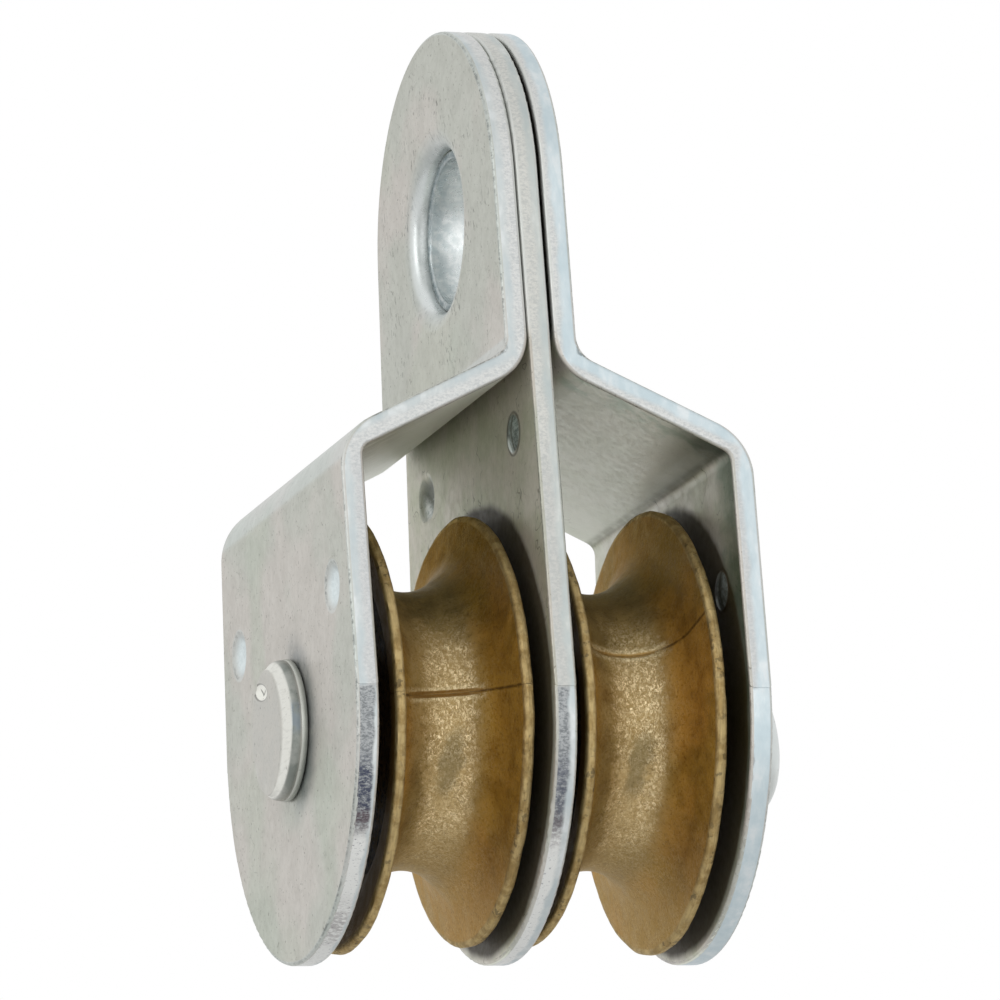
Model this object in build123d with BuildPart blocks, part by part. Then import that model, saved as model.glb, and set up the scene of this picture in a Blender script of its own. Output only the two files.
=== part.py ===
"""Double sheave block with a rigid eye, for 3/8 in rope.

Three strap plates are stacked at the eye and spread to form two bays. A riveted
axle crosses both bays and carries one wrapped-strip sheave in each.

Frame: millimetres. The origin is the centre of the eye's bore. X runs along the
axle, Y runs through the bays, where the rope passes, and Z is up.
"""

import os
from math import asin, atan2, cos, hypot, radians, sin, sqrt, tan

from build123d import *

os.makedirs("parts", exist_ok=True)

# ---------------------------------------------------------------- driving sizes

# sheaves
SHEAVE_OD = 38.1  # over the flanges, the nominal size of the block
THROAT_DEPTH = 7.0  # from the flanges' rim down to the bottom of the groove
GROOVE_R = 4.9  # half-round bottom that seats the rope
FLANGE_FLARE = 10.0  # degrees that a flange leans out from square
RIM_T = 0.95  # gauge of the wrapped strip
RIM_EDGE_R = 0.2
SEAM_GAP = 0.16  # butt joint across the strip
LEFT_SEAM_ANGLE = 5.5  # degrees above the front at the throat, as the block hangs
RIGHT_SEAM_ANGLE = 22.0
LEFT_SEAM_LEAN = 10.0  # degrees that the cut leans down from square to the throat
RIGHT_SEAM_LEAN = 0.0
HUB_W = 7.6  # width of the core inside the strip
BUSH_OD = 12.6
BUSH_W = 14.7  # the bush, not the flanges, rubs on the plates
BUSH_CHAMFER = 0.4

# strap plates
PLATE_T = 2.0
PLATE_GAP_LEFT = 0.08  # left plate to centre plate, at the eye
PLATE_GAP_RIGHT = 0.34  # centre plate to right plate, at the eye
PLATE_EDGE_R = 0.35  # tumbled edge
END_OVERHANG = 1.2  # round end beyond the flanges
CORNER_STEP = 0.1  # die step where the round end meets the tapered sides
SHOULDER_SLOPE = 26.0  # degrees below level, going out from the neck
SHEAVE_HEADROOM = 3.0  # shoulder's outer corner above the flanges
NECK_INSIDE_R = 2.5
SHOULDER_INSIDE_R = 1.25
SHOULDER_OUTSIDE_R = 5.2  # the outside of this bend is drawn thin

# eye
EYE_BORE_D = 12.7
EYE_LAND = 11.15  # plate's round end beyond the bore
EYE_TO_NECK = 15.4  # bore centre down to the neck bend's outer corner
COLLAR_T = 0.8  # wall of the collar drawn out of the right plate
COLLAR_RECESS = 1.5  # collar's end below the left plate's outer face
COLLAR_EDGE_R = 0.25
MOUTH_DEPTH = 1.5  # rolled lip round the eye on both outer faces
MOUTH_SPREAD = 2.0  # lip's width, out from the hole

# axle
AXLE_D = 7.94
AXLE_CLEARANCE = 0.04  # radial, inside a bush
PLATE_HOLE_CLEARANCE = 0.03  # radial, shank and collar in the plates
INNER_PLAY = 0.1  # bush to centre plate
OUTER_PLAY = 0.7  # bush to side plate
HEAD_D = 12.3
HEAD_T = 1.87
HEAD_EDGE_R = 0.85
HEAD_SEAT_D = 10.6  # the head bears on the plate inside this circle
HEAD_RELIEF = 0.25  # outside it, the head stands off the plate
HEAD_PIP_D = 1.5
HEAD_PIP_DEPTH = 0.25
HEAD_PIP_OFFSET = 4.3
HEAD_PIP_ANGLE = 62.0  # degrees above level, towards the back
TAIL_D = 14.4
TAIL_T = 6.15
TAIL_EDGE_R = 3.4
TAIL_CROWN = 0.5
TAIL_LEAN = 8.0  # degrees; the upset end leans
TAIL_DROP = 1.35  # and sits a little low

# nibs pressed into the bays, each with a wider pocket behind it
NIB_D = 3.6
NIB_H = 0.35
POCKET_D = 4.3
POCKET_DEPTH = 0.7
POCKET_EDGE_R = 0.8
SIDE_NIB_INSET = 1.6  # in from the flanges' rim
SIDE_NIB_ANGLE = 33.4  # degrees above level, seen along the axle
CENTRE_NIB_OUTSET = 7.8  # out from the flanges' rim
CENTRE_NIB_ANGLE = 61.5

# ---------------------------------------------------------------- worked-out sizes

sheave_r = SHEAVE_OD / 2
throat_r = sheave_r - THROAT_DEPTH
groove_centre_r = throat_r + GROOVE_R
axle_r = AXLE_D / 2
bush_r = BUSH_OD / 2
plate_hole_r = axle_r + PLATE_HOLE_CLEARANCE
eye_bore_r = EYE_BORE_D / 2
collar_r = eye_bore_r + COLLAR_T
collar_hole_r = collar_r + PLATE_HOLE_CLEARANCE

# X of the faces, out from the centre plate
centre_face_x = PLATE_T / 2
side_face_x = centre_face_x + INNER_PLAY + BUSH_W + OUTER_PLAY
side_outer_x = side_face_x + PLATE_T
left_neck_x = centre_face_x + PLATE_GAP_LEFT
right_neck_x = centre_face_x + PLATE_GAP_RIGHT
sheave_x = centre_face_x + INNER_PLAY + BUSH_W / 2

# Z, down from the eye; the axle hangs below the shoulder's outer corner
shoulder_run = side_face_x - (left_neck_x + right_neck_x) / 2
shoulder_z = -EYE_TO_NECK - shoulder_run * tan(radians(SHOULDER_SLOPE))
axle_z = shoulder_z - SHEAVE_HEADROOM - sheave_r

# side view of a plate: an eye end, tapered sides and a round end about the axle
eye_end_r = eye_bore_r + EYE_LAND
round_end_r = sheave_r + END_OVERHANG
corner_y = round_end_r + CORNER_STEP
side_lean = asin(eye_end_r / hypot(corner_y, axle_z)) - atan2(corner_y, -axle_z)
tangent_y = eye_end_r * cos(side_lean)
tangent_z = -eye_end_r * sin(side_lean)

# groove section: half-round bottom, then straight flaring flanges
flare = radians(FLANGE_FLARE)
tangent_x = GROOVE_R * cos(flare)
tangent_r = groove_centre_r - GROOVE_R * sin(flare)
lip_x = tangent_x + (sheave_r - tangent_r) * tan(flare)

AXLE_LINE = Axis((0, 0, axle_z), (1, 0, 0))


def axle_plane(x):
    """Plane XZ with its origin on the axle's centre line at x."""
    return Plane(origin=(x, 0, axle_z), x_dir=(1, 0, 0), z_dir=(0, -1, 0))


def round_axle(y, radius, angle):
    """Y and Z of a point at a radius and angle about the axle, on side y."""
    return (y * radius * cos(radians(angle)), axle_z + radius * sin(radians(angle)))


# ---------------------------------------------------------------- plate blanks


def plate_outline():
    """Side view of every plate, with no holes."""
    with BuildSketch(Plane.YZ) as outline:
        Circle(eye_end_r)
        with BuildLine():
            Polyline(
                (tangent_y, tangent_z),
                (corner_y, axle_z),
                (-corner_y, axle_z),
                (-tangent_y, tangent_z),
                close=True,
            )
        make_face()
        with Locations((0, axle_z)):
            Circle(round_end_r)
    return outline.sketch


def sheared_edges(plate):
    """Edges round the outline of both faces, without the corners through the plate."""
    through = plate.edges().filter_by(Axis.X)
    bend_lines = plate.edges().filter_by(Axis.Y).filter_by(lambda e: e.length > eye_end_r)
    return plate.edges() - through - bend_lines


def side_blank(neck_x):
    """Plate on the +X side, bent out at the neck and down again at the shoulder."""
    inner_drop = PLATE_T * tan(radians(90 - SHOULDER_SLOPE) / 2)
    neck_z = shoulder_z + (side_face_x - neck_x) * tan(radians(SHOULDER_SLOPE))
    top_z = 2 * eye_end_r
    bottom_z = axle_z - 2 * round_end_r
    inner_face = (
        (neck_x, top_z),
        (neck_x, neck_z - inner_drop),
        (side_face_x, shoulder_z - inner_drop),
        (side_face_x, bottom_z),
    )
    outer_face = (
        (neck_x + PLATE_T, top_z),
        (neck_x + PLATE_T, neck_z),
        (side_outer_x, shoulder_z),
        (side_outer_x, bottom_z),
    )
    bends = (
        (inner_face[1], NECK_INSIDE_R + PLATE_T),
        (outer_face[1], NECK_INSIDE_R),
        (inner_face[2], SHOULDER_INSIDE_R),
        (outer_face[2], SHOULDER_OUTSIDE_R),
    )
    with BuildPart() as plate:
        with BuildSketch(Plane.XZ) as section:
            with BuildLine():
                Polyline(*inner_face, *reversed(outer_face), close=True)
            make_face()
            for corner, radius in bends:
                fillet(section.vertices().sort_by_distance(corner)[0], radius)
        extrude(amount=2 * corner_y, both=True)
        extrude(plate_outline(), amount=2 * side_outer_x, mode=Mode.INTERSECT)
        fillet(sheared_edges(plate), PLATE_EDGE_R)
    return plate.part


def flared_hole(radius):
    """Tool for a hole along X whose mouth, on the YZ plane, rolls out to the +X side."""
    reach = 4 * PLATE_T  # through all three plates
    with BuildPart() as tool:
        with BuildSketch(Plane.XZ):
            with BuildLine():
                mouth = EllipticalCenterArc(
                    (-MOUTH_DEPTH, radius + MOUTH_SPREAD),
                    MOUTH_DEPTH,
                    MOUTH_SPREAD,
                    start_angle=-90,
                    arc_size=90,
                )
                Polyline(
                    mouth @ 1,
                    (PLATE_T, radius + MOUTH_SPREAD),
                    (PLATE_T, 0),
                    (-reach, 0),
                    (-reach, radius),
                    mouth @ 0,
                )
            make_face()
        revolve(axis=Axis.X)
    return tool.part


def pressed_nib(diameter, height):
    """Shallow round cap on the YZ plane, rising along +X."""
    radius = diameter / 2
    cap_r = (radius**2 + height**2) / (2 * height)
    with BuildPart() as nib:
        with BuildSketch(Plane.XY):
            with BuildLine():
                Line((0, 0), (height, 0))
                RadiusArc((height, 0), (0, radius), -cap_r)
                Line((0, radius), (0, 0))
            make_face()
        revolve(axis=Axis.X)
    return nib.part


def pocket_rims(plate):
    """Round edges of the pockets in a plate's faces."""
    rings = plate.edges().filter_by(GeomType.CIRCLE).filter_by(Plane.YZ)
    return rings.filter_by(lambda e: abs(e.radius - POCKET_D / 2) < 0.001)


# ---------------------------------------------------------------- strap plates

nib = pressed_nib(NIB_D, NIB_H)
pocket = pressed_nib(POCKET_D, POCKET_DEPTH)
nib_reach = sheave_r - SIDE_NIB_INSET
side_nib_spots = [round_axle(side, nib_reach, SIDE_NIB_ANGLE) for side in (-1, 1)]
collar_hole = flared_hole(collar_hole_r)
eye_bore = flared_hole(eye_bore_r)
left_blank = mirror(side_blank(left_neck_x), about=Plane.YZ)
right_blank = side_blank(right_neck_x)

with BuildPart() as left_strap:
    add(left_blank)
    with Locations(Location((-left_neck_x - PLATE_T, 0, 0), (0, 180, 0))):
        add(collar_hole, mode=Mode.SUBTRACT)
    with Locations(Location((-side_face_x, 0, axle_z), (0, 90, 0))):
        Hole(plate_hole_r)
    with Locations([Location((-side_outer_x, y, z)) for y, z in side_nib_spots]):
        add(pocket, mode=Mode.SUBTRACT)
    with Locations([Location((-side_face_x, y, z)) for y, z in side_nib_spots]):
        add(nib)
    fillet(pocket_rims(left_strap), POCKET_EDGE_R)

left_strap.part.label = "left_strap"
export_step(left_strap.part, "parts/left_strap.step")

with BuildPart() as centre_strap:
    extrude(plate_outline(), amount=PLATE_T / 2, both=True)
    fillet(sheared_edges(centre_strap), PLATE_EDGE_R)
    with Locations(Location((0, 0, 0), (0, 90, 0))):
        Hole(collar_hole_r)
    with Locations(Location((0, 0, axle_z), (0, 90, 0))):
        Hole(plate_hole_r)
    # the front nib stands into the left bay, the back one into the right bay
    for side in (-1, 1):
        nib_y, nib_z = round_axle(side, sheave_r + CENTRE_NIB_OUTSET, CENTRE_NIB_ANGLE)
        turn = 90 - 90 * side
        with Locations(Location((-side * centre_face_x, nib_y, nib_z), (0, turn, 0))):
            add(pocket, mode=Mode.SUBTRACT)
        with Locations(Location((side * centre_face_x, nib_y, nib_z), (0, turn, 0))):
            add(nib)
    fillet(pocket_rims(centre_strap), POCKET_EDGE_R)

centre_strap.part.label = "centre_strap"
export_step(centre_strap.part, "parts/centre_strap.step")

with BuildPart() as right_strap:
    add(right_blank)
    # collar drawn through the other two plates
    collar_end_x = -left_neck_x - PLATE_T + COLLAR_RECESS
    with BuildSketch(Plane.YZ.offset(collar_end_x)):
        Circle(collar_r)
    extrude(amount=right_neck_x + PLATE_T / 2 - collar_end_x)
    with Locations((right_neck_x + PLATE_T, 0, 0)):
        add(eye_bore, mode=Mode.SUBTRACT)
    fillet(right_strap.edges().group_by(Axis.X)[0], COLLAR_EDGE_R)
    with Locations(Location((side_face_x, 0, axle_z), (0, 90, 0))):
        Hole(plate_hole_r)
    with Locations([Location((side_outer_x, y, z), (0, 180, 0)) for y, z in side_nib_spots]):
        add(pocket, mode=Mode.SUBTRACT)
    with Locations([Location((side_face_x, y, z), (0, 180, 0)) for y, z in side_nib_spots]):
        add(nib)
    fillet(pocket_rims(right_strap), POCKET_EDGE_R)

right_strap.part.label = "right_strap"
export_step(right_strap.part, "parts/right_strap.step")


# ---------------------------------------------------------------- axle


def upset_tail():
    """Thick crowned button on the right plate, leaning from the axle's line."""
    lean = radians(TAIL_LEAN)
    tail_r = TAIL_D / 2
    sunk = 2 * tail_r * tan(lean)
    side_view = Plane(
        origin=(side_outer_x, 0, axle_z - TAIL_DROP),
        x_dir=(cos(lean), 0, sin(lean)),
        z_dir=(0, -1, 0),
    )
    with BuildPart() as button:
        with BuildSketch(side_view) as half_section:
            with BuildLine():
                Polyline((TAIL_T, 0), (-sunk, 0), (-sunk, tail_r), (TAIL_T - TAIL_CROWN, tail_r))
                TangentArc((TAIL_T, 0), (TAIL_T - TAIL_CROWN, tail_r), tangent=(0, 1))
            make_face()
            fillet(half_section.vertices().group_by(Axis.Y)[-1].sort_by(Axis.X)[-1], TAIL_EDGE_R)
        revolve(axis=Axis(side_view.origin, side_view.x_dir))
        split(bisect_by=Plane.YZ.offset(side_outer_x), keep=Keep.TOP)
    return button.part


tail = upset_tail()
head_pip = pressed_nib(HEAD_PIP_D, HEAD_PIP_DEPTH)

with BuildPart() as axle_rivet:
    # shank and the flat head outside the left plate
    head_x = -side_outer_x - HEAD_T
    with BuildSketch(axle_plane(0)) as half_section:
        with BuildLine():
            Polyline(
                (head_x, 0),
                (head_x, HEAD_D / 2),
                (-side_outer_x - HEAD_RELIEF, HEAD_D / 2),
                (-side_outer_x, HEAD_SEAT_D / 2),
                (-side_outer_x, axle_r),
                (side_outer_x, axle_r),
                (side_outer_x, 0),
                close=True,
            )
        make_face()
        fillet(half_section.vertices().group_by(Axis.X)[0].sort_by(Axis.Y)[-1], HEAD_EDGE_R)
    revolve(axis=AXLE_LINE)
    # locating pip in the head's face
    pip_y, pip_z = round_axle(1, HEAD_PIP_OFFSET, HEAD_PIP_ANGLE)
    with Locations(Location((head_x, pip_y, pip_z))):
        add(head_pip, mode=Mode.SUBTRACT)
    add(tail)

axle_rivet.part.label = "axle_rivet"
export_step(axle_rivet.part, "parts/axle_rivet.step")


# ---------------------------------------------------------------- sheaves


def wrapped_rim(centre_x, seam_angle, seam_lean):
    """Strip wrapped round the hub and flared into two flanges, with an open butt seam."""
    with BuildPart() as rim:
        with BuildSketch(axle_plane(centre_x)) as section:
            with BuildLine():
                groove = ThreePointArc(
                    (-tangent_x, tangent_r), (0, throat_r), (tangent_x, tangent_r)
                )
                Line((-lip_x, sheave_r), groove @ 0)
                Line(groove @ 1, (lip_x, sheave_r))
                offset(amount=RIM_T, side=Side.RIGHT)
            make_face()
            lips = section.vertices().filter_by(lambda v: v.Y > tangent_r + GROOVE_R * sin(flare))
            fillet(lips, RIM_EDGE_R)
        revolve(axis=AXLE_LINE)
        # the seam runs straight across the strip, at the front of the sheave
        seam_y, seam_z = round_axle(-1, throat_r, seam_angle)
        with Locations(Location((centre_x, seam_y, seam_z), (seam_lean - seam_angle, 0, 0))):
            Box(
                4 * lip_x,
                2 * THROAT_DEPTH,
                SEAM_GAP,
                mode=Mode.SUBTRACT,
            )
    return rim.part


def waisted_hub(centre_x):
    """Core that fills the strip's waist and holds the bush."""
    waist_r = GROOVE_R + RIM_T
    side_r = groove_centre_r - sqrt(waist_r**2 - (HUB_W / 2) ** 2)
    with BuildPart() as hub:
        with BuildSketch(axle_plane(centre_x)):
            with BuildLine():
                Polyline(
                    (-HUB_W / 2, side_r),
                    (-HUB_W / 2, bush_r),
                    (HUB_W / 2, bush_r),
                    (HUB_W / 2, side_r),
                )
                ThreePointArc(
                    (HUB_W / 2, side_r), (0, groove_centre_r - waist_r), (-HUB_W / 2, side_r)
                )
            make_face()
        revolve(axis=AXLE_LINE)
    return hub.part


def bearing_bush(centre_x):
    """Oil-filled bush that runs on the axle; its ends rub on the plates."""
    with BuildPart() as bush:
        with BuildSketch(Plane(origin=(centre_x, 0, axle_z), z_dir=(1, 0, 0))):
            Circle(bush_r)
            Circle(axle_r + AXLE_CLEARANCE, mode=Mode.SUBTRACT)
        extrude(amount=BUSH_W / 2, both=True)
        rings = bush.edges().filter_by(GeomType.CIRCLE)
        chamfer(rings.group_by(SortBy.RADIUS)[-1], BUSH_CHAMFER)
    return bush.part


for side, centre_x, seam_angle, seam_lean in (
    ("left", -sheave_x, LEFT_SEAM_ANGLE, LEFT_SEAM_LEAN),
    ("right", sheave_x, RIGHT_SEAM_ANGLE, RIGHT_SEAM_LEAN),
):
    sheave_pieces = {
        "rim": wrapped_rim(centre_x, seam_angle, seam_lean),
        "hub": waisted_hub(centre_x),
        "bush": bearing_bush(centre_x),
    }
    for piece_name, piece in sheave_pieces.items():
        piece.label = f"{side}_sheave_{piece_name}"
        export_step(piece, f"parts/{piece.label}.step")
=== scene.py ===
# %% [markdown]
# # A double sheave block
#
# A block is a pulley in a housing. This one has three strap plates, stacked at the eye and
# spread into two bays, and in each bay a grooved sheave that turns on one riveted axle.
# The sizes come from the CAD model, which is loaded first as a fixed frame. Blender adds
# what the CAD model leaves out: the finish of each surface and the light on it.

# %% Load the frame
import math
from types import SimpleNamespace

import bmesh
import bpy
from mathutils import Matrix, Vector
from mathutils import noise as steady_noise


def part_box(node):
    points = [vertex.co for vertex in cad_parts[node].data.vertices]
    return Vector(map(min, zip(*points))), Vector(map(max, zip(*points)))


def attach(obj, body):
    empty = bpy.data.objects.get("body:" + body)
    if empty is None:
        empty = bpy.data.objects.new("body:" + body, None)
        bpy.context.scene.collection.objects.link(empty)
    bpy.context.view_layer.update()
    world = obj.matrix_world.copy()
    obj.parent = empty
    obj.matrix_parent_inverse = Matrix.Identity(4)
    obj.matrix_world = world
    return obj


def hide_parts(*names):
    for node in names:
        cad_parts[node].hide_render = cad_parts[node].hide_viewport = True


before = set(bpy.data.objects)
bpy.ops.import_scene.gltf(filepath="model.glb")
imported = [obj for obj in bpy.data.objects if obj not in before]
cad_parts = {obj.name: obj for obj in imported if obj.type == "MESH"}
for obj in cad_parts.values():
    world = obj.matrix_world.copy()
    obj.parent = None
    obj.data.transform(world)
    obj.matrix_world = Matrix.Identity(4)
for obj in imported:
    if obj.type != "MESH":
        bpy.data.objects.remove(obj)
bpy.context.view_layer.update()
print("CAD nodes:", sorted(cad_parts))

# %% [markdown]
# ## Sizes
#
# Places are read from the CAD pieces, so nothing has to be fitted by eye. The origin is the
# centre of the eye's bore, X runs along the axle and Z is up. A box gives a low and a high
# corner. Above the neck a side plate's points lie on its two faces only, so their smallest
# and largest X give the two faces there. The lowest point that is still on the inner neck
# face is where the plates start to part.

# %% Read the sizes
MM = 0.001

bush_low, bush_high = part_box("left_sheave_bush")
right_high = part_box("right_strap")[1]

axle_z = (bush_low.z + bush_high.z) / 2
sheave_x = -(bush_low.x + bush_high.x) / 2
outer_x = right_high.x
eye_end_r = right_high.z
print(f"axle {-axle_z / MM:.1f} mm under the eye, sheaves {sheave_x / MM:.2f} mm either side")


def neck_faces(name):
    """Distances of a side plate's two faces from the middle, read near the eye's top."""
    points = [abs(v.co.x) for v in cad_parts[name].data.vertices if v.co.z > 0.8 * eye_end_r]
    return min(points), max(points)


left_neck = neck_faces("left_strap")
right_neck = neck_faces("right_strap")
gauge = right_neck[1] - right_neck[0]
side_x = outer_x - gauge
neck_points = [v.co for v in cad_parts["right_strap"].data.vertices
               if abs(v.co.x - right_neck[0]) < 0.01 * MM]
neck_foot = min(p.z for p in neck_points)  # where the inner faces start to part
print(f"plates {gauge / MM:.2f} mm thick; they part {-neck_foot / MM:.1f} mm under the eye")

# %% [markdown]
# ## Camera
#
# The block is seen from its left, from a little below, through a long lens, so its upright
# edges stay nearly parallel. A camera looks along its own -Z with +Y up, so the three
# columns of its rotation are its right, its up and the reverse of its line of sight.

# %% Place the camera
SIGHT_TURN = math.radians(18.128)  # round the vertical, from the front towards the left
SIGHT_RISE = math.radians(12.422)  # above level
SIGHT_ROLL = math.radians(-3.099)
CAMERA_AT = Vector((-212.65, -654.58, -175.92)) * MM
SENSOR = 36.0
LENS_TO_SENSOR = 8.0649

sight = Vector((
    math.sin(SIGHT_TURN) * math.cos(SIGHT_RISE),
    math.cos(SIGHT_TURN) * math.cos(SIGHT_RISE),
    math.sin(SIGHT_RISE),
))
level_right = Vector((math.cos(SIGHT_TURN), -math.sin(SIGHT_TURN), 0.0))
level_up = level_right.cross(sight)
right = math.cos(SIGHT_ROLL) * level_right + math.sin(SIGHT_ROLL) * level_up
up = math.cos(SIGHT_ROLL) * level_up - math.sin(SIGHT_ROLL) * level_right

camera = bpy.data.objects.new("camera", bpy.data.cameras.new("camera"))
bpy.context.collection.objects.link(camera)
camera.data.sensor_width = SENSOR
camera.data.lens = LENS_TO_SENSOR * SENSOR
camera.data.clip_start = 0.05
camera.data.clip_end = 20.0
axes = Matrix((right, up, -sight)).transposed().to_4x4()
camera.matrix_world = Matrix.Translation(CAMERA_AT) @ axes
bpy.context.scene.camera = camera
print(f"camera {CAMERA_AT.length:.2f} m away, {camera.data.lens:.0f} mm lens")

# %% [markdown]
# ## Node helpers
#
# Node trees are long to write out link by link. Here what comes out of a node is held as a
# Wire, and sums on wires are written as plain sums: `a * b` adds a Math node, set to
# multiply, and gives the wire out of it. So a tree reads like a formula. These helpers serve
# shader trees and Geometry Nodes trees alike.

# %% Wires


class Wire:
    """What comes out of a node. A sum on wires adds the Math nodes that work it out."""

    def __init__(self, socket):
        self.socket = socket
        self.tree = socket.id_data

    def __add__(self, other):
        return maths("ADD", self, other)

    def __radd__(self, other):
        return maths("ADD", other, self)

    def __sub__(self, other):
        return maths("SUBTRACT", self, other)

    def __rsub__(self, other):
        return maths("SUBTRACT", other, self)

    def __mul__(self, other):
        return maths("MULTIPLY", self, other)

    def __truediv__(self, other):
        return maths("DIVIDE", self, other)

    def __neg__(self):
        return maths("MULTIPLY", self, -1.0)

    def __abs__(self):
        return maths("ABSOLUTE", self)


# %% [markdown]
# A node's inputs take a plain value or a wire, and nothing else has to be told apart. New
# nodes are made from the name of their kind, their inputs and their settings.

# %% Nodes


def feed(socket, value):
    """An input given what it takes: a wire is linked to it, and a plain value is written in it."""
    if isinstance(value, Wire):
        socket.id_data.links.new(value.socket, socket)
    else:
        socket.default_value = value


def add_node(tree, kind, inputs=None, **settings):
    """A node with its settings and inputs. An input may be a plain value or a wire."""
    made = tree.nodes.new(kind)
    for name, value in settings.items():
        setattr(made, name, value)
    for name, value in (inputs or {}).items():
        feed(made.inputs[name], value)
    return made


def wires_of(node):
    """All that comes out of a node, by name."""
    return {socket.name: Wire(socket) for socket in node.outputs}


def result(tree, kind, inputs=None, output=0, **settings):
    """One wire out of a new node."""
    return Wire(add_node(tree, kind, inputs, **settings).outputs[output])


# %% [markdown]
# The sums that Python has no sign for are called by their name, such as a sine or the larger
# of two values. A few nodes come up again and again, so each has a function of its own.

# %% Nodes that come up often


def maths(operation, first, second=0.0):
    """One sum on two values, of which at least one is a wire."""
    tree = next(value.tree for value in (first, second) if isinstance(value, Wire))
    return result(tree, "ShaderNodeMath", {0: first, 1: second}, operation=operation)


def fade(value, low, high, to_low=0.0, to_high=1.0):
    """Value faded smoothly from to_low, at low, to to_high, at high."""
    inputs = {"Value": value, "From Min": low, "From Max": high, "To Min": to_low, "To Max": to_high}
    return result(value.tree, "ShaderNodeMapRange", inputs, output="Result",
                  interpolation_type="SMOOTHSTEP")


def noise(where, scale, detail=4.0, roughness=0.55, **extra):
    """Noise with `scale` lumps per metre."""
    inputs = {"Vector": where, "Scale": scale, "Detail": detail, "Roughness": roughness}
    return result(where.tree, "ShaderNodeTexNoise", {**inputs, **extra}, output="Fac")


def stretched(where, scale, turn=(0.0, 0.0, 0.0)):
    """Coordinates turned and scaled unevenly, which draws a pattern out into streaks."""
    return result(where.tree, "ShaderNodeMapping",
                  {"Vector": where, "Rotation": turn, "Scale": scale}, output="Vector")


def vector_of(tree, x, y, z):
    """A vector put together from its X, Y and Z."""
    return result(tree, "ShaderNodeCombineXYZ", {"X": x, "Y": y, "Z": z})


def parts_of(vector):
    """The X, Y and Z of a vector."""
    made = add_node(vector.tree, "ShaderNodeSeparateXYZ", {"Vector": vector})
    return [Wire(socket) for socket in made.outputs]


# %% [markdown]
# ## Sheaves: a strip wrapped into a groove
#
# Each sheave is made from a flat strip of metal. Rollers wrap it round a core, press its
# middle into a half-round groove and leave its two sides flaring out as flanges, so the two
# ends of the strip meet in a seam across the groove. No two come out alike: the lips wander,
# and one flange may stand a little taller than the other.
#
# The model follows the same steps. It starts as a flat bar, divided finely, and every point
# of the bar is told apart by three measures: how far it is across the strip, how deep it is
# in the strip and how far it is along the strip. From these, sums give its place in the
# groove's section and then its place round the axle. A lathe shape would be quicker to
# make, but it has no ends, so it can't have a seam.

# %% Inputs of the strip
THROAT_R = 12.05 * MM

STRIP_INPUTS = (
    # name, socket type, value
    ("Across Count", "INT", 91),
    ("Along Count", "INT", 321),
    ("Gauge", "FLOAT", 0.95 * MM),
    ("Edge Radius", "FLOAT", 0.28 * MM),
    ("Sheave Radius", "FLOAT", 19.05 * MM),
    ("Throat Radius", "FLOAT", THROAT_R),
    ("Groove Radius", "FLOAT", 4.9 * MM),
    ("Flare", "FLOAT", math.radians(10.0)),
    ("Side Shift", "FLOAT", 0.0),  # the strip lies off centre, so one flange is taller
    ("Seam Turn", "FLOAT", 0.0),  # where the ends meet, above the front
    ("Seam Lean", "FLOAT", 0.0),  # how far the cut falls for each metre up the flange
    ("Seam Skew", "FLOAT", 0.0),  # and for each metre across the groove
    ("Seam Gap", "FLOAT", 0.03 * MM),
    ("Seam Dip", "FLOAT", 0.3 * MM),  # how far the two ends sink in the throat
    ("Seam Dip Reach", "FLOAT", 0.35 * MM),
    ("Lip Wander", "FLOAT", 0.16 * MM),
    ("Centre X", "FLOAT", 0.0),
    ("Axle Height", "FLOAT", 0.0),
    ("Seed", "FLOAT", 0.0),
    ("Material", "MATERIAL", None),
)

SOCKET_KINDS = {"INT": "NodeSocketInt", "FLOAT": "NodeSocketFloat", "MATERIAL": "NodeSocketMaterial"}
FULL_TURN = 2 * math.pi

# %% [markdown]
# The bar comes from a Cube node, whose X, Y and Z stand for across, through and along. Its
# size is worked out from the groove's section: an arc that is a little less than a half
# circle, and two straight flanges. The lips of the bar are rounded by setting its end faces
# back, and most of all at the two corners.

# %% The flat bar


def section_of(given):
    """The groove's section: the radius of its centre line, half its arc and half its width."""
    centre_r = given["Throat Radius"] + given["Groove Radius"]
    arc_half = given["Groove Radius"] * (math.pi / 2 - given["Flare"])
    flange_foot = centre_r - given["Groove Radius"] * maths("SINE", given["Flare"])
    flange = (given["Sheave Radius"] - flange_foot) / maths("COSINE", given["Flare"])
    return centre_r, arc_half, arc_half + flange


def flat_bar(tree, given, half_width):
    """The bar, and the measures of its points: across, through its thickness and along."""
    size = vector_of(tree, half_width * 2.0, given["Gauge"], 1.0)
    counts = {"Vertices X": given["Across Count"], "Vertices Y": 6, "Vertices Z": given["Along Count"]}
    bar = result(tree, "GeometryNodeMeshCube", {"Size": size, **counts}, output="Mesh")
    across, through, even = parts_of(result(tree, "GeometryNodeInputPosition"))
    # the divisions crowd towards the two ends, where the seam needs fine detail
    along = even * 0.2 + maths("SINE", even * math.pi) * 0.4
    return bar, across, through, along


def lip_set_back(given, through):
    """How far back a point of the end face lies, to round the lip."""
    off_middle = abs(through) - (given["Gauge"] * 0.5 - given["Edge Radius"])
    rounding = maths("MINIMUM", maths("MAXIMUM", off_middle, 0.0) / given["Edge Radius"], 1.0)
    drop = 1.0 - maths("SQRT", maths("MAXIMUM", 1.0 - rounding * rounding, 0.0))
    return drop * given["Edge Radius"]


# %% [markdown]
# The lips wander in and out and from side to side. The noise that moves them is read off a
# ring, so it meets itself at the seam, and each flange has a ring of its own. Beside the
# seam, the strip sinks a little into the throat.

# %% Wandering lips and the sunken seam


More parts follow.
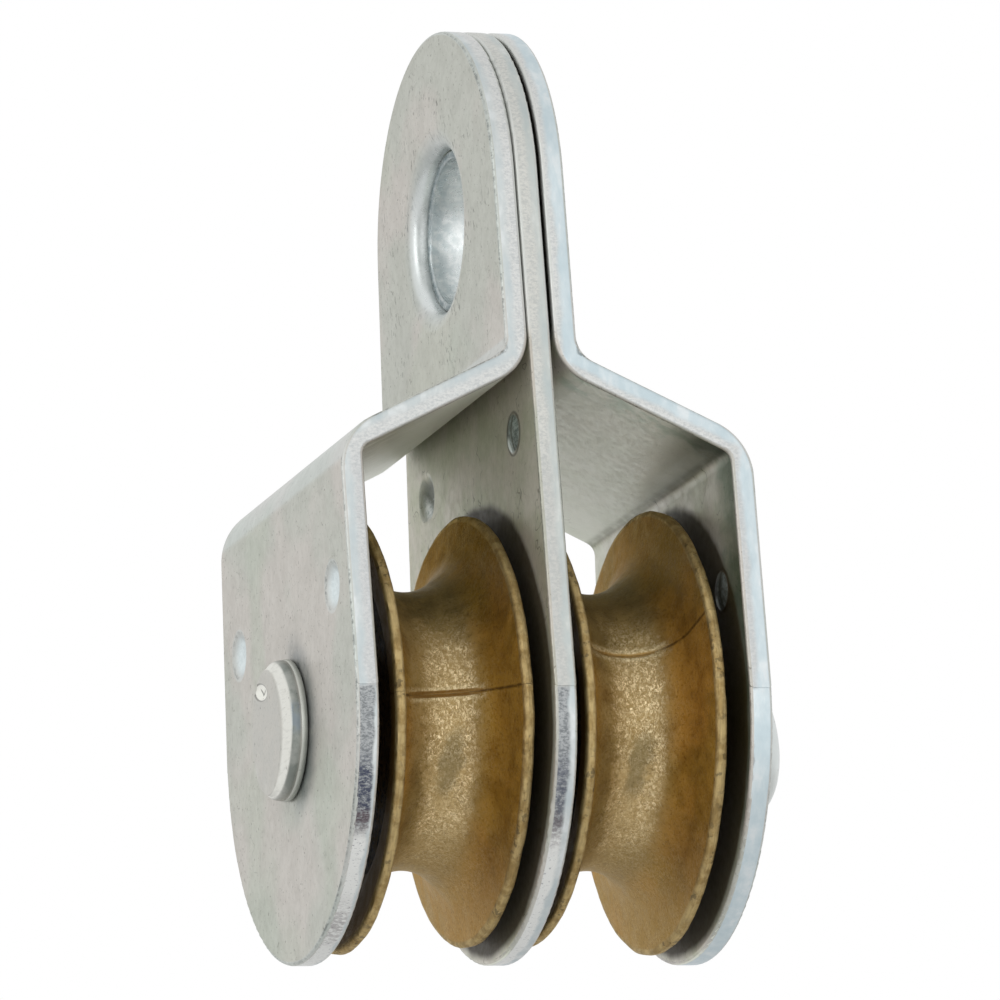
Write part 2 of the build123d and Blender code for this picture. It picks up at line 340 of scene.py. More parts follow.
def lip_wander(tree, given, across, along, near_lip):
    """How far a lip stands out at a place along the strip, and how far it leans sideways."""
    turn = along * FULL_TURN
    ring = vector_of(tree, maths("COSINE", turn), maths("SINE", turn), maths("SIGN", across) * 3.0)

    def wander(scale, detail, offset):
        made = result(tree, "ShaderNodeTexNoise",
                      {"Vector": ring, "W": given["Seed"] + offset, "Scale": scale,
                       "Detail": detail, "Roughness": 0.6}, noise_dimensions="4D")
        return made - 0.5

    out = given["Lip Wander"] * 2.0 * wander(5.0, 3.0, 0.0) * near_lip
    sway = given["Lip Wander"] * 2.2 * wander(2.6, 5.0, 7.0) * near_lip
    return out, sway


def seam_sink(given, across, depth, along):
    """How far a point beside the seam sinks into the throat. The outer face stays round."""
    in_throat = fade(abs(across), 1.6 * MM, 4.5 * MM, 1.0, 0.0)
    from_end = (0.5 - abs(along)) * given["Throat Radius"] * FULL_TURN
    beside = fade(from_end, 0.0, given["Seam Dip Reach"], 1.0, 0.0)
    return given["Seam Dip"] * in_throat * beside * (1.0 - depth / given["Gauge"])


# %% [markdown]
# Then the strip is bent twice. Across, the arc comes first, and what is left over runs
# straight up the flange. Round the axle, its two ends meet at the seam, less a ragged gap.

# %% The two bends


def bent_across(given, centre_r, arc_half, strip_s, bend_r, sway):
    """Place along the axle and distance from it, once the strip is bent into the groove."""
    arc_s = maths("MINIMUM", maths("MAXIMUM", strip_s, -arc_half), arc_half)
    over_s = strip_s - arc_s
    bend = arc_s / given["Groove Radius"]
    flare_sine = maths("SINE", given["Flare"])
    flare_cosine = maths("COSINE", given["Flare"])
    place_x = bend_r * maths("SINE", bend) + over_s * flare_sine + sway
    radius = centre_r - bend_r * maths("COSINE", bend) + abs(over_s) * flare_cosine
    return place_x, radius


def angle_round(tree, given, across, depth, along, place_x, radius):
    """Angle round the axle, from the front, once the strip's two ends meet."""
    ragged = result(tree, "ShaderNodeTexNoise",
                    {"Vector": vector_of(tree, across, depth, 0.0), "Scale": 1300.0, "Detail": 3.0,
                     "W": given["Seed"] + maths("SIGN", along)}, noise_dimensions="4D")
    gap = given["Seam Gap"] + (ragged - 0.5) * (0.2 * MM)
    gap_turn = maths("MAXIMUM", gap, 0.02 * MM) / radius
    fall = given["Seam Lean"] * (radius - given["Throat Radius"]) + given["Seam Skew"] * place_x
    seam_turn = given["Seam Turn"] - fall / radius
    swept = (along + 0.5) * (FULL_TURN - gap_turn)
    return seam_turn + gap_turn * 0.5 + swept


# %% [markdown]
# The tree itself is one chain. The three measures are stored as named attributes while the
# bar is still straight, because the brass finish needs them later: the groove, the lips and
# the back of the strip don't look alike. A fourth tells how far a point sank beside the
# seam. One Set Position node then does all the bending at once.

# %% Geometry Nodes tree of the strip


def strip_tree():
    """The tree that makes one sheave's strip from its named inputs."""
    tree = bpy.data.node_groups.new("wrapped_strip", "GeometryNodeTree")
    tree.is_modifier = True
    tree.interface.new_socket(name="Geometry", in_out="OUTPUT", socket_type="NodeSocketGeometry")
    for name, kind, value in STRIP_INPUTS:
        made = tree.interface.new_socket(name=name, in_out="INPUT", socket_type=SOCKET_KINDS[kind])
        if value is not None:
            made.default_value = value
    given = wires_of(tree.nodes.new("NodeGroupInput"))

    centre_r, arc_half, half_width = section_of(given)
    bar, across, through, along = flat_bar(tree, given, half_width)
    depth = given["Gauge"] * 0.5 + through
    near_lip = fade(abs(across) / half_width, 0.55, 1.0)
    out, sway = lip_wander(tree, given, across, along, near_lip)
    long_way = half_width + out - lip_set_back(given, through)
    strip_s = across / half_width * long_way + given["Side Shift"] * near_lip
    sink = seam_sink(given, across, depth, along)
    for name, value in (("across", across), ("depth", depth), ("along", along), ("sunk", sink)):
        bar = result(tree, "GeometryNodeStoreNamedAttribute",
                     {"Geometry": bar, "Name": name, "Value": value}, output="Geometry",
                     data_type="FLOAT", domain="POINT")

    bend_r = given["Groove Radius"] + depth + sink
    place_x, radius = bent_across(given, centre_r, arc_half, strip_s, bend_r, sway)
    angle = angle_round(tree, given, across, depth, along, place_x, radius)
    place = vector_of(tree, given["Centre X"] + place_x, -(radius * maths("COSINE", angle)),
                      given["Axle Height"] + radius * maths("SINE", angle))
    wrapped = result(tree, "GeometryNodeSetPosition", {"Geometry": bar, "Position": place})
    real = result(tree, "GeometryNodeRealizeInstances", {"Geometry": wrapped})
    finished = result(tree, "GeometryNodeSetMaterial",
                      {"Geometry": real, "Material": given["Material"]})
    add_node(tree, "NodeGroupOutput", {"Geometry": finished})
    return tree


STRIP_TREE = strip_tree()
print("strip tree:", len(STRIP_TREE.nodes), "nodes")

# %% [markdown]
# ## Shader helpers
#
# Base colours are easiest to judge as display values from 0 to 255, so they are written so
# and turned into the linear values that shaders count in. A Mix node has a set of sockets
# for each kind of value that it can blend; the colour set is picked here once.

# %% Shader helpers


def srgb(red, green, blue):
    """A colour written as 0 to 255 display values, as the linear colour that shaders use."""
    def linear(value):
        value /= 255
        return value / 12.92 if value <= 0.04045 else ((value + 0.055) / 1.055) ** 2.4
    return (linear(red), linear(green), linear(blue), 1.0)


def blend(amount, first, second, way="MIX"):
    """Two colours blended by an amount."""
    made = add_node(amount.tree, "ShaderNodeMix", data_type="RGBA", blend_type=way)
    for number, value in ((0, amount), (6, first), (7, second)):
        feed(made.inputs[number], value)
    return Wire(made.outputs[2])


def darker(amount, colour, by):
    """A colour multiplied towards another by an amount, as dirt or a stain does."""
    return blend(amount, colour, by, "MULTIPLY")


def new_material(name):
    """A material, its shader and its coordinates."""
    made = bpy.data.materials.new(name)
    made.use_nodes = True
    place = wires_of(add_node(made.node_tree, "ShaderNodeTexCoord"))
    return made, made.node_tree.nodes["Principled BSDF"], place


def dress(shader, colour, roughness, metallic, height=None, bump=0.0):
    """Colour, roughness and bump given to the shader. Bump is the height's depth in metres."""
    feed(shader.inputs["Base Color"], colour)
    feed(shader.inputs["Roughness"], roughness)
    feed(shader.inputs["Metallic"], metallic)
    if height is not None:
        inputs = {"Height": height, "Distance": bump, "Strength": 1.0}
        feed(shader.inputs["Normal"], result(shader.id_data, "ShaderNodeBump", inputs))


# %% [markdown]
# Three patterns come up again and again: rings round an axis, specks and threads.

# %% Patterns


def off_axle(y, z, height=0.0):
    """Distance from a line along X at this height."""
    offset = vector_of(y.tree, 0.0, y, z - height)
    return result(y.tree, "ShaderNodeVectorMath", {0: offset}, output="Value", operation="LENGTH")


def specks(where, scale, size, spread=0.12):
    """Sparse specks: the peaks of a fine noise. A smaller size leaves fewer and smaller ones."""
    return fade(noise(where, scale, 2.0, 0.5), 1.0 - size - spread, 1.0 - size)


def threads(where, scale, width):
    """Fine curved lines, where a noise passes through its middle value."""
    return fade(abs(noise(where, scale, 3.0, 0.6) - 0.5), 0.0, width, 1.0, 0.0)


# %% [markdown]
# ## Finding a place on a plate
#
# A strap plate is blanked from sheet and then bent, so its surface comes in kinds that a
# finish must tell apart.
#
# - **The faces** are the sheet as rolled. Their normals point along X, or lean over towards
#   Z on the shoulder, but they keep some X part there.
# - **The edges** were sheared by the die. Their normals have no X part at all.
# - **An edge has two bands.** A die cuts the first part cleanly, which leaves a smooth band,
#   and then the rest tears, which leaves a rough one. To draw them, a shader must know how
#   deep a point lies in the sheet.
#
# That depth is easy on a flat plate and less so on a bent one. Here it is worked out for each
# straight run of the bent plate, and the runs are joined with smallest and largest, in the
# way that half-planes are joined into a shape. It is 0 at the inner face and 1 at the outer.

# %% Depth in the sheet
SHOULDER_SLOPE = math.radians(26.0)


def shoulder_reach(name):
    """How far out the shoulder's outer face lies, measured square to its slope."""
    run = [v.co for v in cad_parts[name].data.vertices if 0.6 * outer_x < abs(v.co.x)]
    return max(abs(p.x) * math.sin(SHOULDER_SLOPE) + p.z * math.cos(SHOULDER_SLOPE) for p in run)


def side_plate_depth(side, neck_x, reach):
    """Depth in a bent plate, and how far above its lower bend a point lies."""
    def depth(x, z):
        out = x * side
        neck = out - neck_x
        wall = out - side_x
        slope = out * math.sin(SHOULDER_SLOPE) + z * math.cos(SHOULDER_SLOPE)
        fall = slope - (reach - gauge)
        bent = maths("MAXIMUM", maths("MINIMUM", neck, fall), wall)
        return (bent / gauge, fall - wall)
    return depth


def flat_plate_depth(x, z):
    """Depth in the centre plate, from its left face to its right, and a bend far out of reach."""
    return (x / gauge + 0.5, z + 1.0)


print(f"left shoulder reach {shoulder_reach('left_strap') / MM:.2f} mm")

# %% [markdown]
# ## Zinc plate
#
# Bright zinc is never one grey. It grows in patches that lean warm or green, it keeps the
# grain of the steel under it, it lies bluer and brighter on edges, and it is scratched and
# specked by handling in the barrel. Each of these is one layer here, from the broadest to
# the finest. Every layer asks the same things about a point, so they are worked out once.

# %% What a layer asks about a point


def point_on_plate(place, depth_of):
    """Where a point of a plate is, which way it faces, and which kind of surface it is on."""
    at = place["Object"]
    x, y, z = parts_of(at)
    normal = parts_of(place["Normal"])
    facing = abs(normal[0])
    flat = fade(abs(normal[1]), 0.2, 0.08)
    depth, off_bend = depth_of(x, z)
    eye_r = off_axle(y, z)
    in_eye = fade(eye_r, 8.6 * MM, 8.9 * MM, 1.0, 0.0)
    edge = fade(facing, 0.15, 0.4, 1.0, 0.0) * (1.0 - in_eye)
    return SimpleNamespace(
        at=at, x=x, y=y, z=z, normal=normal, facing=facing, flat=flat, depth=depth,
        off_bend=off_bend, eye_r=eye_r, axle_r=off_axle(y, z, axle_z), in_eye=in_eye, edge=edge,
        below=fade(z, axle_z + 0.1 * MM, axle_z - 0.3 * MM),
        lip=fade(eye_r, 7.0 * MM, 9.2 * MM, 1.0, 0.0),
        inner=fade(abs(depth), 0.3, 0.1) * (1.0 - edge) * flat)


# %% [markdown]
# ### Faces
#
# The rolled faces get patches, cloud, grain, pits that are thickest near the eye, a few
# scratches and dust.

# %% Rolled faces


def face_colour(at, eye_r):
    """Colour of the rolled faces."""
    broad = noise(at, 90.0, 2.0, 0.5)
    tint = blend(fade(broad, 0.4, 0.6), srgb(183, 185, 176), srgb(193, 189, 182))
    green = fade(noise(at, 60.0, 1.0, 0.5, Distortion=0.4), 0.54, 0.68)
    tint = blend(green * 0.5, tint, srgb(176, 184, 169))
    cloud = noise(at, 420.0, 5.0, 0.6)
    tint = darker(fade(cloud, 0.62, 0.36, 0.0, 0.25), tint, srgb(214, 213, 210))
    grain = noise(stretched(at, (1.0, 1.0, 0.5)), 2600.0, 4.0, 0.7)
    tint = darker(fade(grain, 0.52, 0.34, 0.0, 0.2), tint, srgb(206, 206, 204))
    near = fade(eye_r, 9.0 * MM, 21.0 * MM, 1.0, 0.2)
    near = near * fade(noise(at, 260.0, 2.0), 0.42, 0.62)
    slanted = stretched(at, (1.0, 1.9, 0.8), (0.5, 0.0, 0.0))
    pits = specks(slanted, 1700.0, 0.35, 0.04) * near
    tint = darker(pits * 0.75, tint, srgb(122, 122, 116))
    scratches = threads(at, 80.0, 0.003) * fade(noise(at, 210.0, 3.0), 0.5, 0.6)
    tint = darker(scratches * 0.4, tint, srgb(150, 150, 142))
    dust = specks(at, 3000.0, 0.3, 0.03)
    return darker(dust * 0.5, tint, srgb(112, 106, 92))


# %% [markdown]
# ### Edges
#
# The sheared edges get their two bands, with a wavering line between them. How wide each
# band is changes at the axle's height, where the straight sides run into the round end.

# %% Sheared edges


def torn_colour(ripples, z, below):
    """Colour of the rough band: even above the axle, and coarse and dark under it."""
    frost = blend(fade(ripples, 0.38, 0.62), srgb(184, 187, 187), srgb(199, 200, 199))
    high = fade(z, axle_z + 18.0 * MM, axle_z + 22.0 * MM) * fade(ripples, 0.36, 0.6, 0.05, 0.32)
    frost = blend(high, frost, srgb(224, 225, 220))
    # under the axle the break is dark and grey first, then bright with a few dark dashes
    coarse = blend(fade(ripples, 0.38, 0.6), srgb(116, 120, 122), srgb(164, 167, 168))
    dashed = blend(fade(ripples, 0.3, 0.44), srgb(126, 128, 134), srgb(220, 221, 218))
    worse = blend(fade(z, axle_z - 12.5 * MM, axle_z - 11.0 * MM), dashed, coarse)
    return blend(below, frost, worse)


def clean_colour(at, x):
    """Colour of the smooth band, bluer on the right plate."""
    sheen = noise(stretched(at, (1.0, 1.0, 0.35)), 520.0, 4.0, 0.65)
    sheen_amount = fade(sheen, 0.36, 0.64)
    grey = blend(sheen_amount, srgb(182, 191, 193), srgb(196, 201, 200))
    blue = blend(sheen_amount, srgb(186, 200, 205), srgb(201, 211, 214))
    clean = blend(fade(x, 0.8 * MM, 2.4 * MM), grey, blue)
    white = fade(sheen, 0.52, 0.64) * fade(noise(at, 900.0, 3.0), 0.35, 0.6) * 0.6
    return blend(white, clean, srgb(214, 218, 219))


def edge_colour(point, smooth_above, smooth_below):
    """Colour of the sheared edges, a height for their bump, and how smooth they are."""
    at = point.at
    waver = (noise(at, 230.0, 3.0, 0.6) - 0.5) * 0.6 + (noise(at, 1500.0, 3.0, 0.7) - 0.5) * 0.12
    across = point.depth + waver
    smooth = blend(point.below, fade(across, *smooth_above), fade(across, *smooth_below))
    ripples = noise(stretched(at, (0.6, 1.0, 1.0)), 4800.0, 4.0, 0.75)
    torn = torn_colour(ripples, point.z, point.below)
    colour = blend(smooth, torn, clean_colour(at, point.x))
    return colour, ripples * (1.15 - smooth), smooth


# %% [markdown]
# Where a face meets an edge, tumbling rubbed the corner pale and left a broken dark line
# beside it. Low on the front edge the torn band has streaks of blue and brown, as steel
# takes on when it is heated.

# %% Corners and stains of the edges


def with_corners(point, colour):
    """The rubbed corners and the dark lines beside them."""
    tumbled = fade(point.facing, 0.995, 0.97) * fade(point.facing, 0.3, 0.5)
    tumbled = tumbled * fade(point.depth, 0.4, 0.55)
    colour = blend(tumbled * 0.35 * (1.0 - point.in_eye), colour, srgb(202, 212, 213))

    outer = fade(abs(point.depth - 1.0), 0.03, 0.1, 1.0, 0.0)
    inner = fade(abs(point.depth), 0.02, 0.06, 0.5, 0.0)
    broken = (fade(noise(point.at, 2100.0, 4.0, 0.7), 0.4, 0.6)
              * fade(noise(point.at, 330.0, 2.0), 0.36, 0.6, 0.3, 1.0))
    # a bend also leans away from X, but it is no corner
    bent = point.flat * fade(point.normal[2], 0.02, 0.1) * fade(point.facing, 0.2, 0.4)
    line = maths("MAXIMUM", outer, inner) * broken * fade(point.facing, 0.95, 0.98, 1.0, 0.0)
    return darker(line * (1.0 - bent) * 0.7, colour, srgb(128, 130, 128))


def with_stains(point, colour, torn, places):
    """Streaks of temper colour, between two heights for each of the places."""
    band = sum(fade(point.z, low - 1.5 * MM, low + 1.0 * MM)
               * fade(point.z, high - 1.0 * MM, high + 1.5 * MM, 1.0, 0.0) * weight
               for low, high, weight in places)
    streak = noise(stretched(point.at, (0.55, 1.0, 1.0)), 3300.0, 5.0, 0.75)
    front = fade(point.y, -4.0 * MM, -6.0 * MM)
    stain = band * fade(streak, 0.4, 0.56) * point.edge * front * torn
    lowness = point.z + (noise(point.at, 420.0, 3.0) - 0.5) * (5.0 * MM)
    brown = fade(lowness, axle_z - 9.0 * MM, axle_z - 10.2 * MM)
    return blend(stain * 0.9, colour, blend(brown, srgb(40, 48, 74), srgb(74, 54, 62)))


# %% [markdown]
# ### Eye
#
# The lips of the eye were rolled under pressure, so they are bluer and smoother than the
# sheet. The collar's wall is painted brightest at its right end and a line down the lip is
# painted bright, as highlights, and painted shade lies in the corner between the lip and
# the collar.

# %% Eye


def with_eye(point, colour):
    """The lips of the eye and the wall of its bore, with painted highlights and painted shade."""
    x, eye_r, front = point.x, point.eye_r, point.normal[1]
    mottle = fade(noise(point.at, 1100.0, 6.0, 0.7), 0.4, 0.62)
    rolled = blend(mottle, srgb(183, 190, 190), srgb(196, 202, 202))
    inside = fade(eye_r, 6.6 * MM, 6.9 * MM, 1.0, 0.0)
    # the wall is painted dimmer at its left end and brightest at its right, as light and shade
    wall = blend(fade(x, -1.0 * MM, 1.0 * MM),
                 blend(mottle, srgb(164, 176, 179), srgb(194, 200, 200)),
                 blend(mottle, srgb(222, 230, 231), srgb(246, 250, 250)))
    colour = blend(point.lip * 0.85, colour, blend(inside, rolled, wall))
    # a painted highlight down the middle of the lip
    lip_highlight = (point.lip * fade(eye_r, 6.6 * MM, 7.0 * MM) * fade(front, -0.3, -0.5)
             * fade(front, -0.85, -0.65))
    colour = blend(lip_highlight * 0.55, colour, srgb(236, 241, 241))
    # painted shade in the corner between the lip and the collar
    corner_shade = (fade(abs(eye_r - 6.75 * MM), 0.45 * MM, 0.1 * MM)
              * fade(noise(point.at, 1500.0, 4.0, 0.7), 0.36, 0.56, 0.35, 1.0)
              * fade(x, 0.0, 2.0 * MM, 1.0, 0.4))
    return darker(corner_shade * 0.8, colour, srgb(104, 130, 138))


# %% [markdown]
# ### Inside the bays
#
# The inner faces are duller than the outer ones. They are hazed with oil, rubbed and marked
# by hairs and crumbs. The underside of the shoulder is painted pale, as lit, and at the bend a
# line of painted shade lies above a painted highlight.

# %% Inner faces


def with_haze(point, colour):
    """The oily haze, the rubbing and the small marks of an inner face."""
    at, inner = point.at, point.inner
    haze = fade(noise(at, 190.0, 5.0, 0.6), 0.36, 0.64)
    colour = blend(inner * 0.75, colour, blend(haze, srgb(194, 198, 175), srgb(217, 213, 202)))
    rubbed = noise(stretched(at, (1.0, 1.0, 0.4)), 3400.0, 4.0, 0.7)
    colour = darker(inner * fade(rubbed, 0.56, 0.4) * 0.15, colour, srgb(176, 178, 168))
    hairs = threads(at, 150.0, 0.007) * fade(noise(at, 330.0, 3.0), 0.5, 0.6)
    colour = darker(inner * hairs * 0.75, colour, srgb(126, 124, 110))
    crumbs = inner * specks(at, 2300.0, 0.3, 0.05) * fade(noise(at, 240.0, 2.0), 0.46, 0.62)
    return darker(crumbs * 0.45, colour, srgb(130, 122, 102))


def with_bend_light_and_shade(point, colour):
    """The shoulder's underside painted pale as lit, and painted shade above the bend with a painted
    highlight below it.
    """
    off_bend = point.off_bend
    # painted light on the underside of the shoulder
    colour = blend(point.inner * fade(point.facing, 0.8, 0.6) * 0.75, colour, srgb(236, 240, 228))
    creased = point.inner * fade(noise(point.at, 500.0, 3.0), 0.3, 0.55, 0.5, 1.0)
    over_bend = fade(off_bend, -0.1 * MM, 0.25 * MM) * fade(off_bend, 1.1 * MM, 0.5 * MM)
    # a line of painted shade above the bend
    colour = darker(creased * over_bend * 0.5, colour, srgb(136, 136, 120))
    under_bend = fade(off_bend, 0.0, -0.3 * MM) * fade(off_bend, -4.0 * MM, -0.6 * MM)
    # a line of painted highlight below the bend
    return blend(creased * under_bend * 0.35, colour, srgb(232, 234, 226))


# %% [markdown]
# Four patches are laid one over the other: the right plate darker towards its front, painted
# shade in the corner of its bend and under the left shoulder, and a thin teal film at the front.

# %% Painted shade and teal film in the bays


def with_bay_shade_and_teal(point, colour):
    """The right plate darker towards its front, painted shade in the corners of the bends, and a teal
    film.
    """
    at, x, off_bend = point.at, point.x, point.off_bend
    sloped = point.inner * fade(point.facing, 0.8, 0.6)
    from_front = point.y + (noise(at, 300.0, 4.0) - 0.5) * (5.0 * MM)
    right_bay = fade(x, 0.0, 2.0 * MM)
    # darker towards the front edge of the right plate's inner face
    front_darkening = point.inner * fade(from_front, -14.0 * MM, -18.5 * MM) * fade(x, 10.0 * MM, 15.0 * MM)
    colour = darker(front_darkening * 0.8, colour, srgb(120, 132, 118))
    # painted shade in the corner of the right plate's bend
    bend_corner_shade = (sloped * fade(off_bend, 5.5 * MM, 1.0 * MM) * fade(from_front, -5.0 * MM, -16.0 * MM)
             * right_bay)
    colour = darker(bend_corner_shade * 0.75, colour, srgb(128, 126, 106))
    # painted shade under the left shoulder
    under_shoulder_shade = (sloped * fade(off_bend, 9.0 * MM, 0.5 * MM) * fade(x, 0.0, -2.0 * MM)
            * fade(noise(at, 400.0, 4.0), 0.3, 0.6, 0.6, 1.0))
    colour = darker(under_shoulder_shade * 0.8, colour, srgb(148, 143, 118))
    teal = (point.inner * fade(from_front, -13.5 * MM, -16.5 * MM) * right_bay
            * fade(noise(at, 500.0, 4.0, 0.6), 0.4, 0.6))
    return darker(teal * 0.5, colour, srgb(176, 202, 190))


# %% [markdown]
# ### Punch marks
#
# Punch marks get painted light and shade of their own. A nib stands out on one face and a
# pocket lies behind it on the other, so the depth in the sheet tells them apart: it is less
# than 0 or more than 1 on a nib, and between the two in a pocket. Each is painted with a lit
# side, a shaded side and a dark outline of shade.

# %% Punch marks
MARK_R = 1.85 * MM


def mark_place(reach, rise):
    """How far to the front or back of the axle a punch mark lies, and how far above it."""
    return reach * math.cos(math.radians(rise)), reach * math.sin(math.radians(rise))


def pocket_colour(normal, grit, bright):
    """Colour of a pocket, as painted light: its lower side is painted lit, and the rest shaded."""
    if bright:
        lit = blend(grit, srgb(208, 219, 221), srgb(222, 232, 234))
        return blend(fade(normal[2] - normal[1] * 0.6, -0.55, -0.3), srgb(166, 176, 178), lit)
    lit = blend(grit, srgb(188, 198, 196), srgb(246, 250, 250))
    shaded = blend(grit, srgb(82, 88, 80), srgb(104, 109, 100))
    return blend(fade(normal[2] - normal[1], 0.1, 0.5), shaded, lit)


def with_punch_marks(point, colour, mark, bright_pocket):
    """The pockets and the nibs, painted lit and shaded, and how far a point is on a nib."""
    under = maths("MINIMUM", point.depth, 1.0 - point.depth)
    mark_r = off_axle(abs(point.y) - mark[0], point.z, axle_z + mark[1])
    by_mark = fade(mark_r, 2.7 * MM, 2.5 * MM) * fade(point.facing, 0.2, 0.5)
    nib = fade(under, -0.01, -0.04) * by_mark
    pocket = fade(under, 0.02, 0.26) * by_mark
    grit = fade(noise(point.at, 2600.0, 4.0, 0.75), 0.4, 0.6)
    # each pocket is painted with a lit side and a shaded side
    colour = blend(pocket * 0.85, colour, pocket_colour(point.normal, grit, bright_pocket))

    # the nib is painted lit, with a crescent of painted shadow and a dark line of painted reflection
    shadow_crescent = fade(point.normal[1], 0.02, 0.14)
    reflected_dark_line = fade(abs(point.normal[1] + 0.08), 0.05, 0.02)
    nib_lit_and_shaded = blend(maths("MAXIMUM", shadow_crescent, reflected_dark_line * 0.7),
                  blend(grit, srgb(112, 128, 126), srgb(180, 195, 194)), srgb(50, 58, 54))
    colour = blend(nib * 0.9, colour, nib_lit_and_shaded)
    # a dark outline of painted shade round each mark
    rim = fade(abs(mark_r - MARK_R), 0.2 * MM, 0.05 * MM) * by_mark * fade(under, 0.02, 0.0)
    return darker(rim * 0.6, colour, srgb(90, 96, 92)), nib


# %% [markdown]
# ### Painted shade and shadows
#
# The centre plate is painted a little darker above the axle, as the shade between the side
# plates. The rivet's head casts a painted shadow on the plate round it.
#
# The last layers are painted shade as well. Where the plates lie on each other, the gaps are
# painted dark, and each face is painted pale near its rim, where light reaches. And the plate
# behind each sheave is painted dark as its shadow, up to a round line just past the flange.

# %% Painted shade and shadows
FLANGE_SHADOW_R = 19.3 * MM
PLATE_WIDENS = 0.064  # how much wider each side gets for each metre down from the eye


def with_shade(point, colour):
    """The painted shadow of the rivet's head on the plate round it."""
    # painted shadow of the head, strongest in front of it
    head_shadow = (fade(point.axle_r, 9.2 * MM, 6.2 * MM) * fade(point.depth, 0.9, 0.98)
            * fade(point.y, 1.0 * MM, -3.0 * MM)
            * fade(noise(point.at, 700.0, 4.0), 0.3, 0.6, 0.6, 1.0))
    return darker(head_shadow * 0.9, colour, srgb(160, 169, 175))


def with_gaps(point, colour, against):
    """Painted shade in the gaps between the stacked plates, each face painted pale near its rim."""
    sides = abs(point.y) + point.z * PLATE_WIDENS
    inset = eye_end_r - blend(fade(point.z, -2.0 * MM, 0.0), sides, point.eye_r)
    stacked = (against * fade(point.z, neck_foot - 1.0 * MM, neck_foot + 1.5 * MM)
               * (1.0 - point.edge) * fade(point.eye_r, 8.6 * MM, 9.4 * MM))
    # painted pale near each face's rim, where light reaches, and painted shade deeper in the gap
    colour = blend(stacked * 0.7, colour, srgb(208, 211, 209))
    return darker(stacked * fade(inset, 0.35 * MM, 0.75 * MM), colour, srgb(84, 80, 72))


def with_flange_shadow(point, colour, against, nib):
    """The painted shadow of a sheave on the plate behind it, and how much of it there is."""
    uneven = (noise(point.at, 260.0, 3.0) - 0.5) * (0.8 * MM)
    near_axle = fade(point.axle_r + uneven, FLANGE_SHADOW_R - 0.2 * MM, FLANGE_SHADOW_R + 0.8 * MM, 1.0, 0.0)
    # painted shadow of the sheave's flange, up to a round line just past the flange
    flange_shadow = against * near_axle * fade(point.facing, 0.5, 0.9)
    # a painted highlight on the nib, which the painted shadow spares
    nib_highlight = nib * fade(point.normal[1], 0.0, 0.12) * fade(point.normal[2], 0.0, -0.14)
    colour = blend(nib_highlight, colour, srgb(222, 232, 230))
    flange_shadow = flange_shadow * (1.0 - nib * 0.25) * (1.0 - nib_highlight * 0.9)
    return blend(flange_shadow * 0.95, colour, srgb(50, 41, 20)), flange_shadow


# %% [markdown]
# ### The three plates
#
# The layers are laid on in turn. Each plate has its own stains, and its own share of the
# clean band on its edges, above the axle and below it.

# %% Finish the plates


def zinc_plate(name, depth_of, sheave_sides, stained, smooth_above, smooth_below, mark, bright_pocket):
    """Finish of one plate. Sheave sides tells which depths lie against a sheave and take its painted
    shadow: 0, 1 or both.
    """
    made, shader, place = new_material(name)
    point = point_on_plate(place, depth_of)
    sides, height, smooth = edge_colour(point, smooth_above, smooth_below)
    colour = blend(point.edge, face_colour(point.at, point.eye_r), sides)
    colour = with_corners(point, colour)
    colour = with_stains(point, colour, 1.0 - smooth, stained)
    colour = with_eye(point, colour)
    colour = with_haze(point, colour)
    colour = with_bend_light_and_shade(point, colour)
    colour = with_bay_shade_and_teal(point, colour)
    # the centre plate is painted a little darker above the axle, as the shade between the side plates
    centre_shade = (fade(abs(point.x), 1.35 * MM, 1.2 * MM)
              * (1.0 - maths("MAXIMUM", point.in_eye, point.below)))
    colour = darker(centre_shade, colour, srgb(247, 246, 242))
    colour, nib = with_punch_marks(point, colour, mark, bright_pocket)
    colour = with_shade(point, colour)
    against = sum(fade(abs(point.depth - side), 0.2, 0.3, 1.0, 0.0) for side in sheave_sides)
    colour = with_gaps(point, colour, against)
    colour, flange_shadow = with_flange_shadow(point, colour, against, nib)
    # the painted shadow also lowers the specular level and the metallic
    feed(shader.inputs["Specular IOR Level"], fade(flange_shadow, 0.0, 1.0, 0.5, 0.12))

    scuff = noise(point.at, 1300.0, 5.0, 0.7)
    rough = fade(scuff, 0.3, 0.7, 0.36, 0.5) - point.lip * 0.12
    bumps = height * point.edge * 1.1 + scuff * 0.04
    dress(shader, colour, rough, fade(flange_shadow, 0.0, 1.0, 0.62, 0.2), bumps, 0.035 * MM)
    return made


# %% [markdown]
# The stains are given as heights and a strength, and the clean band as the depths at which
# it ends. The two side plates have the same punch marks, and the centre plate has its own.

# %% The plates' own numbers
SIDE_MARK = mark_place(17.45 * MM, 33.4)
CENTRE_MARK = mark_place(26.85 * MM, 61.5)

finishes = {
    "left_strap": zinc_plate(
        "left_zinc", side_plate_depth(-1.0, left_neck[0], shoulder_reach("left_strap")), (0.0,),
        ((axle_z - 11.4 * MM, axle_z - 6.4 * MM, 0.95), (axle_z - 19.5 * MM, axle_z - 17.5 * MM, 0.5)),
        (0.4, 0.75), (0.32, 0.16), SIDE_MARK, bright_pocket=True),
    "centre_strap": zinc_plate(
        "centre_zinc", flat_plate_depth, (0.0, 1.0),
        ((axle_z - 12.5 * MM, axle_z - 6.5 * MM, 0.6),),
        (0.4, 0.75), (0.5, 0.7), CENTRE_MARK, bright_pocket=False),
    "right_strap": zinc_plate(
        "right_zinc", side_plate_depth(1.0, right_neck[0], shoulder_reach("right_strap")), (0.0,),
        ((axle_z - 17.0 * MM, axle_z - 15.0 * MM, 0.4),),
        (0.2, 0.5), (0.0, 0.12), SIDE_MARK, bright_pocket=True),
}
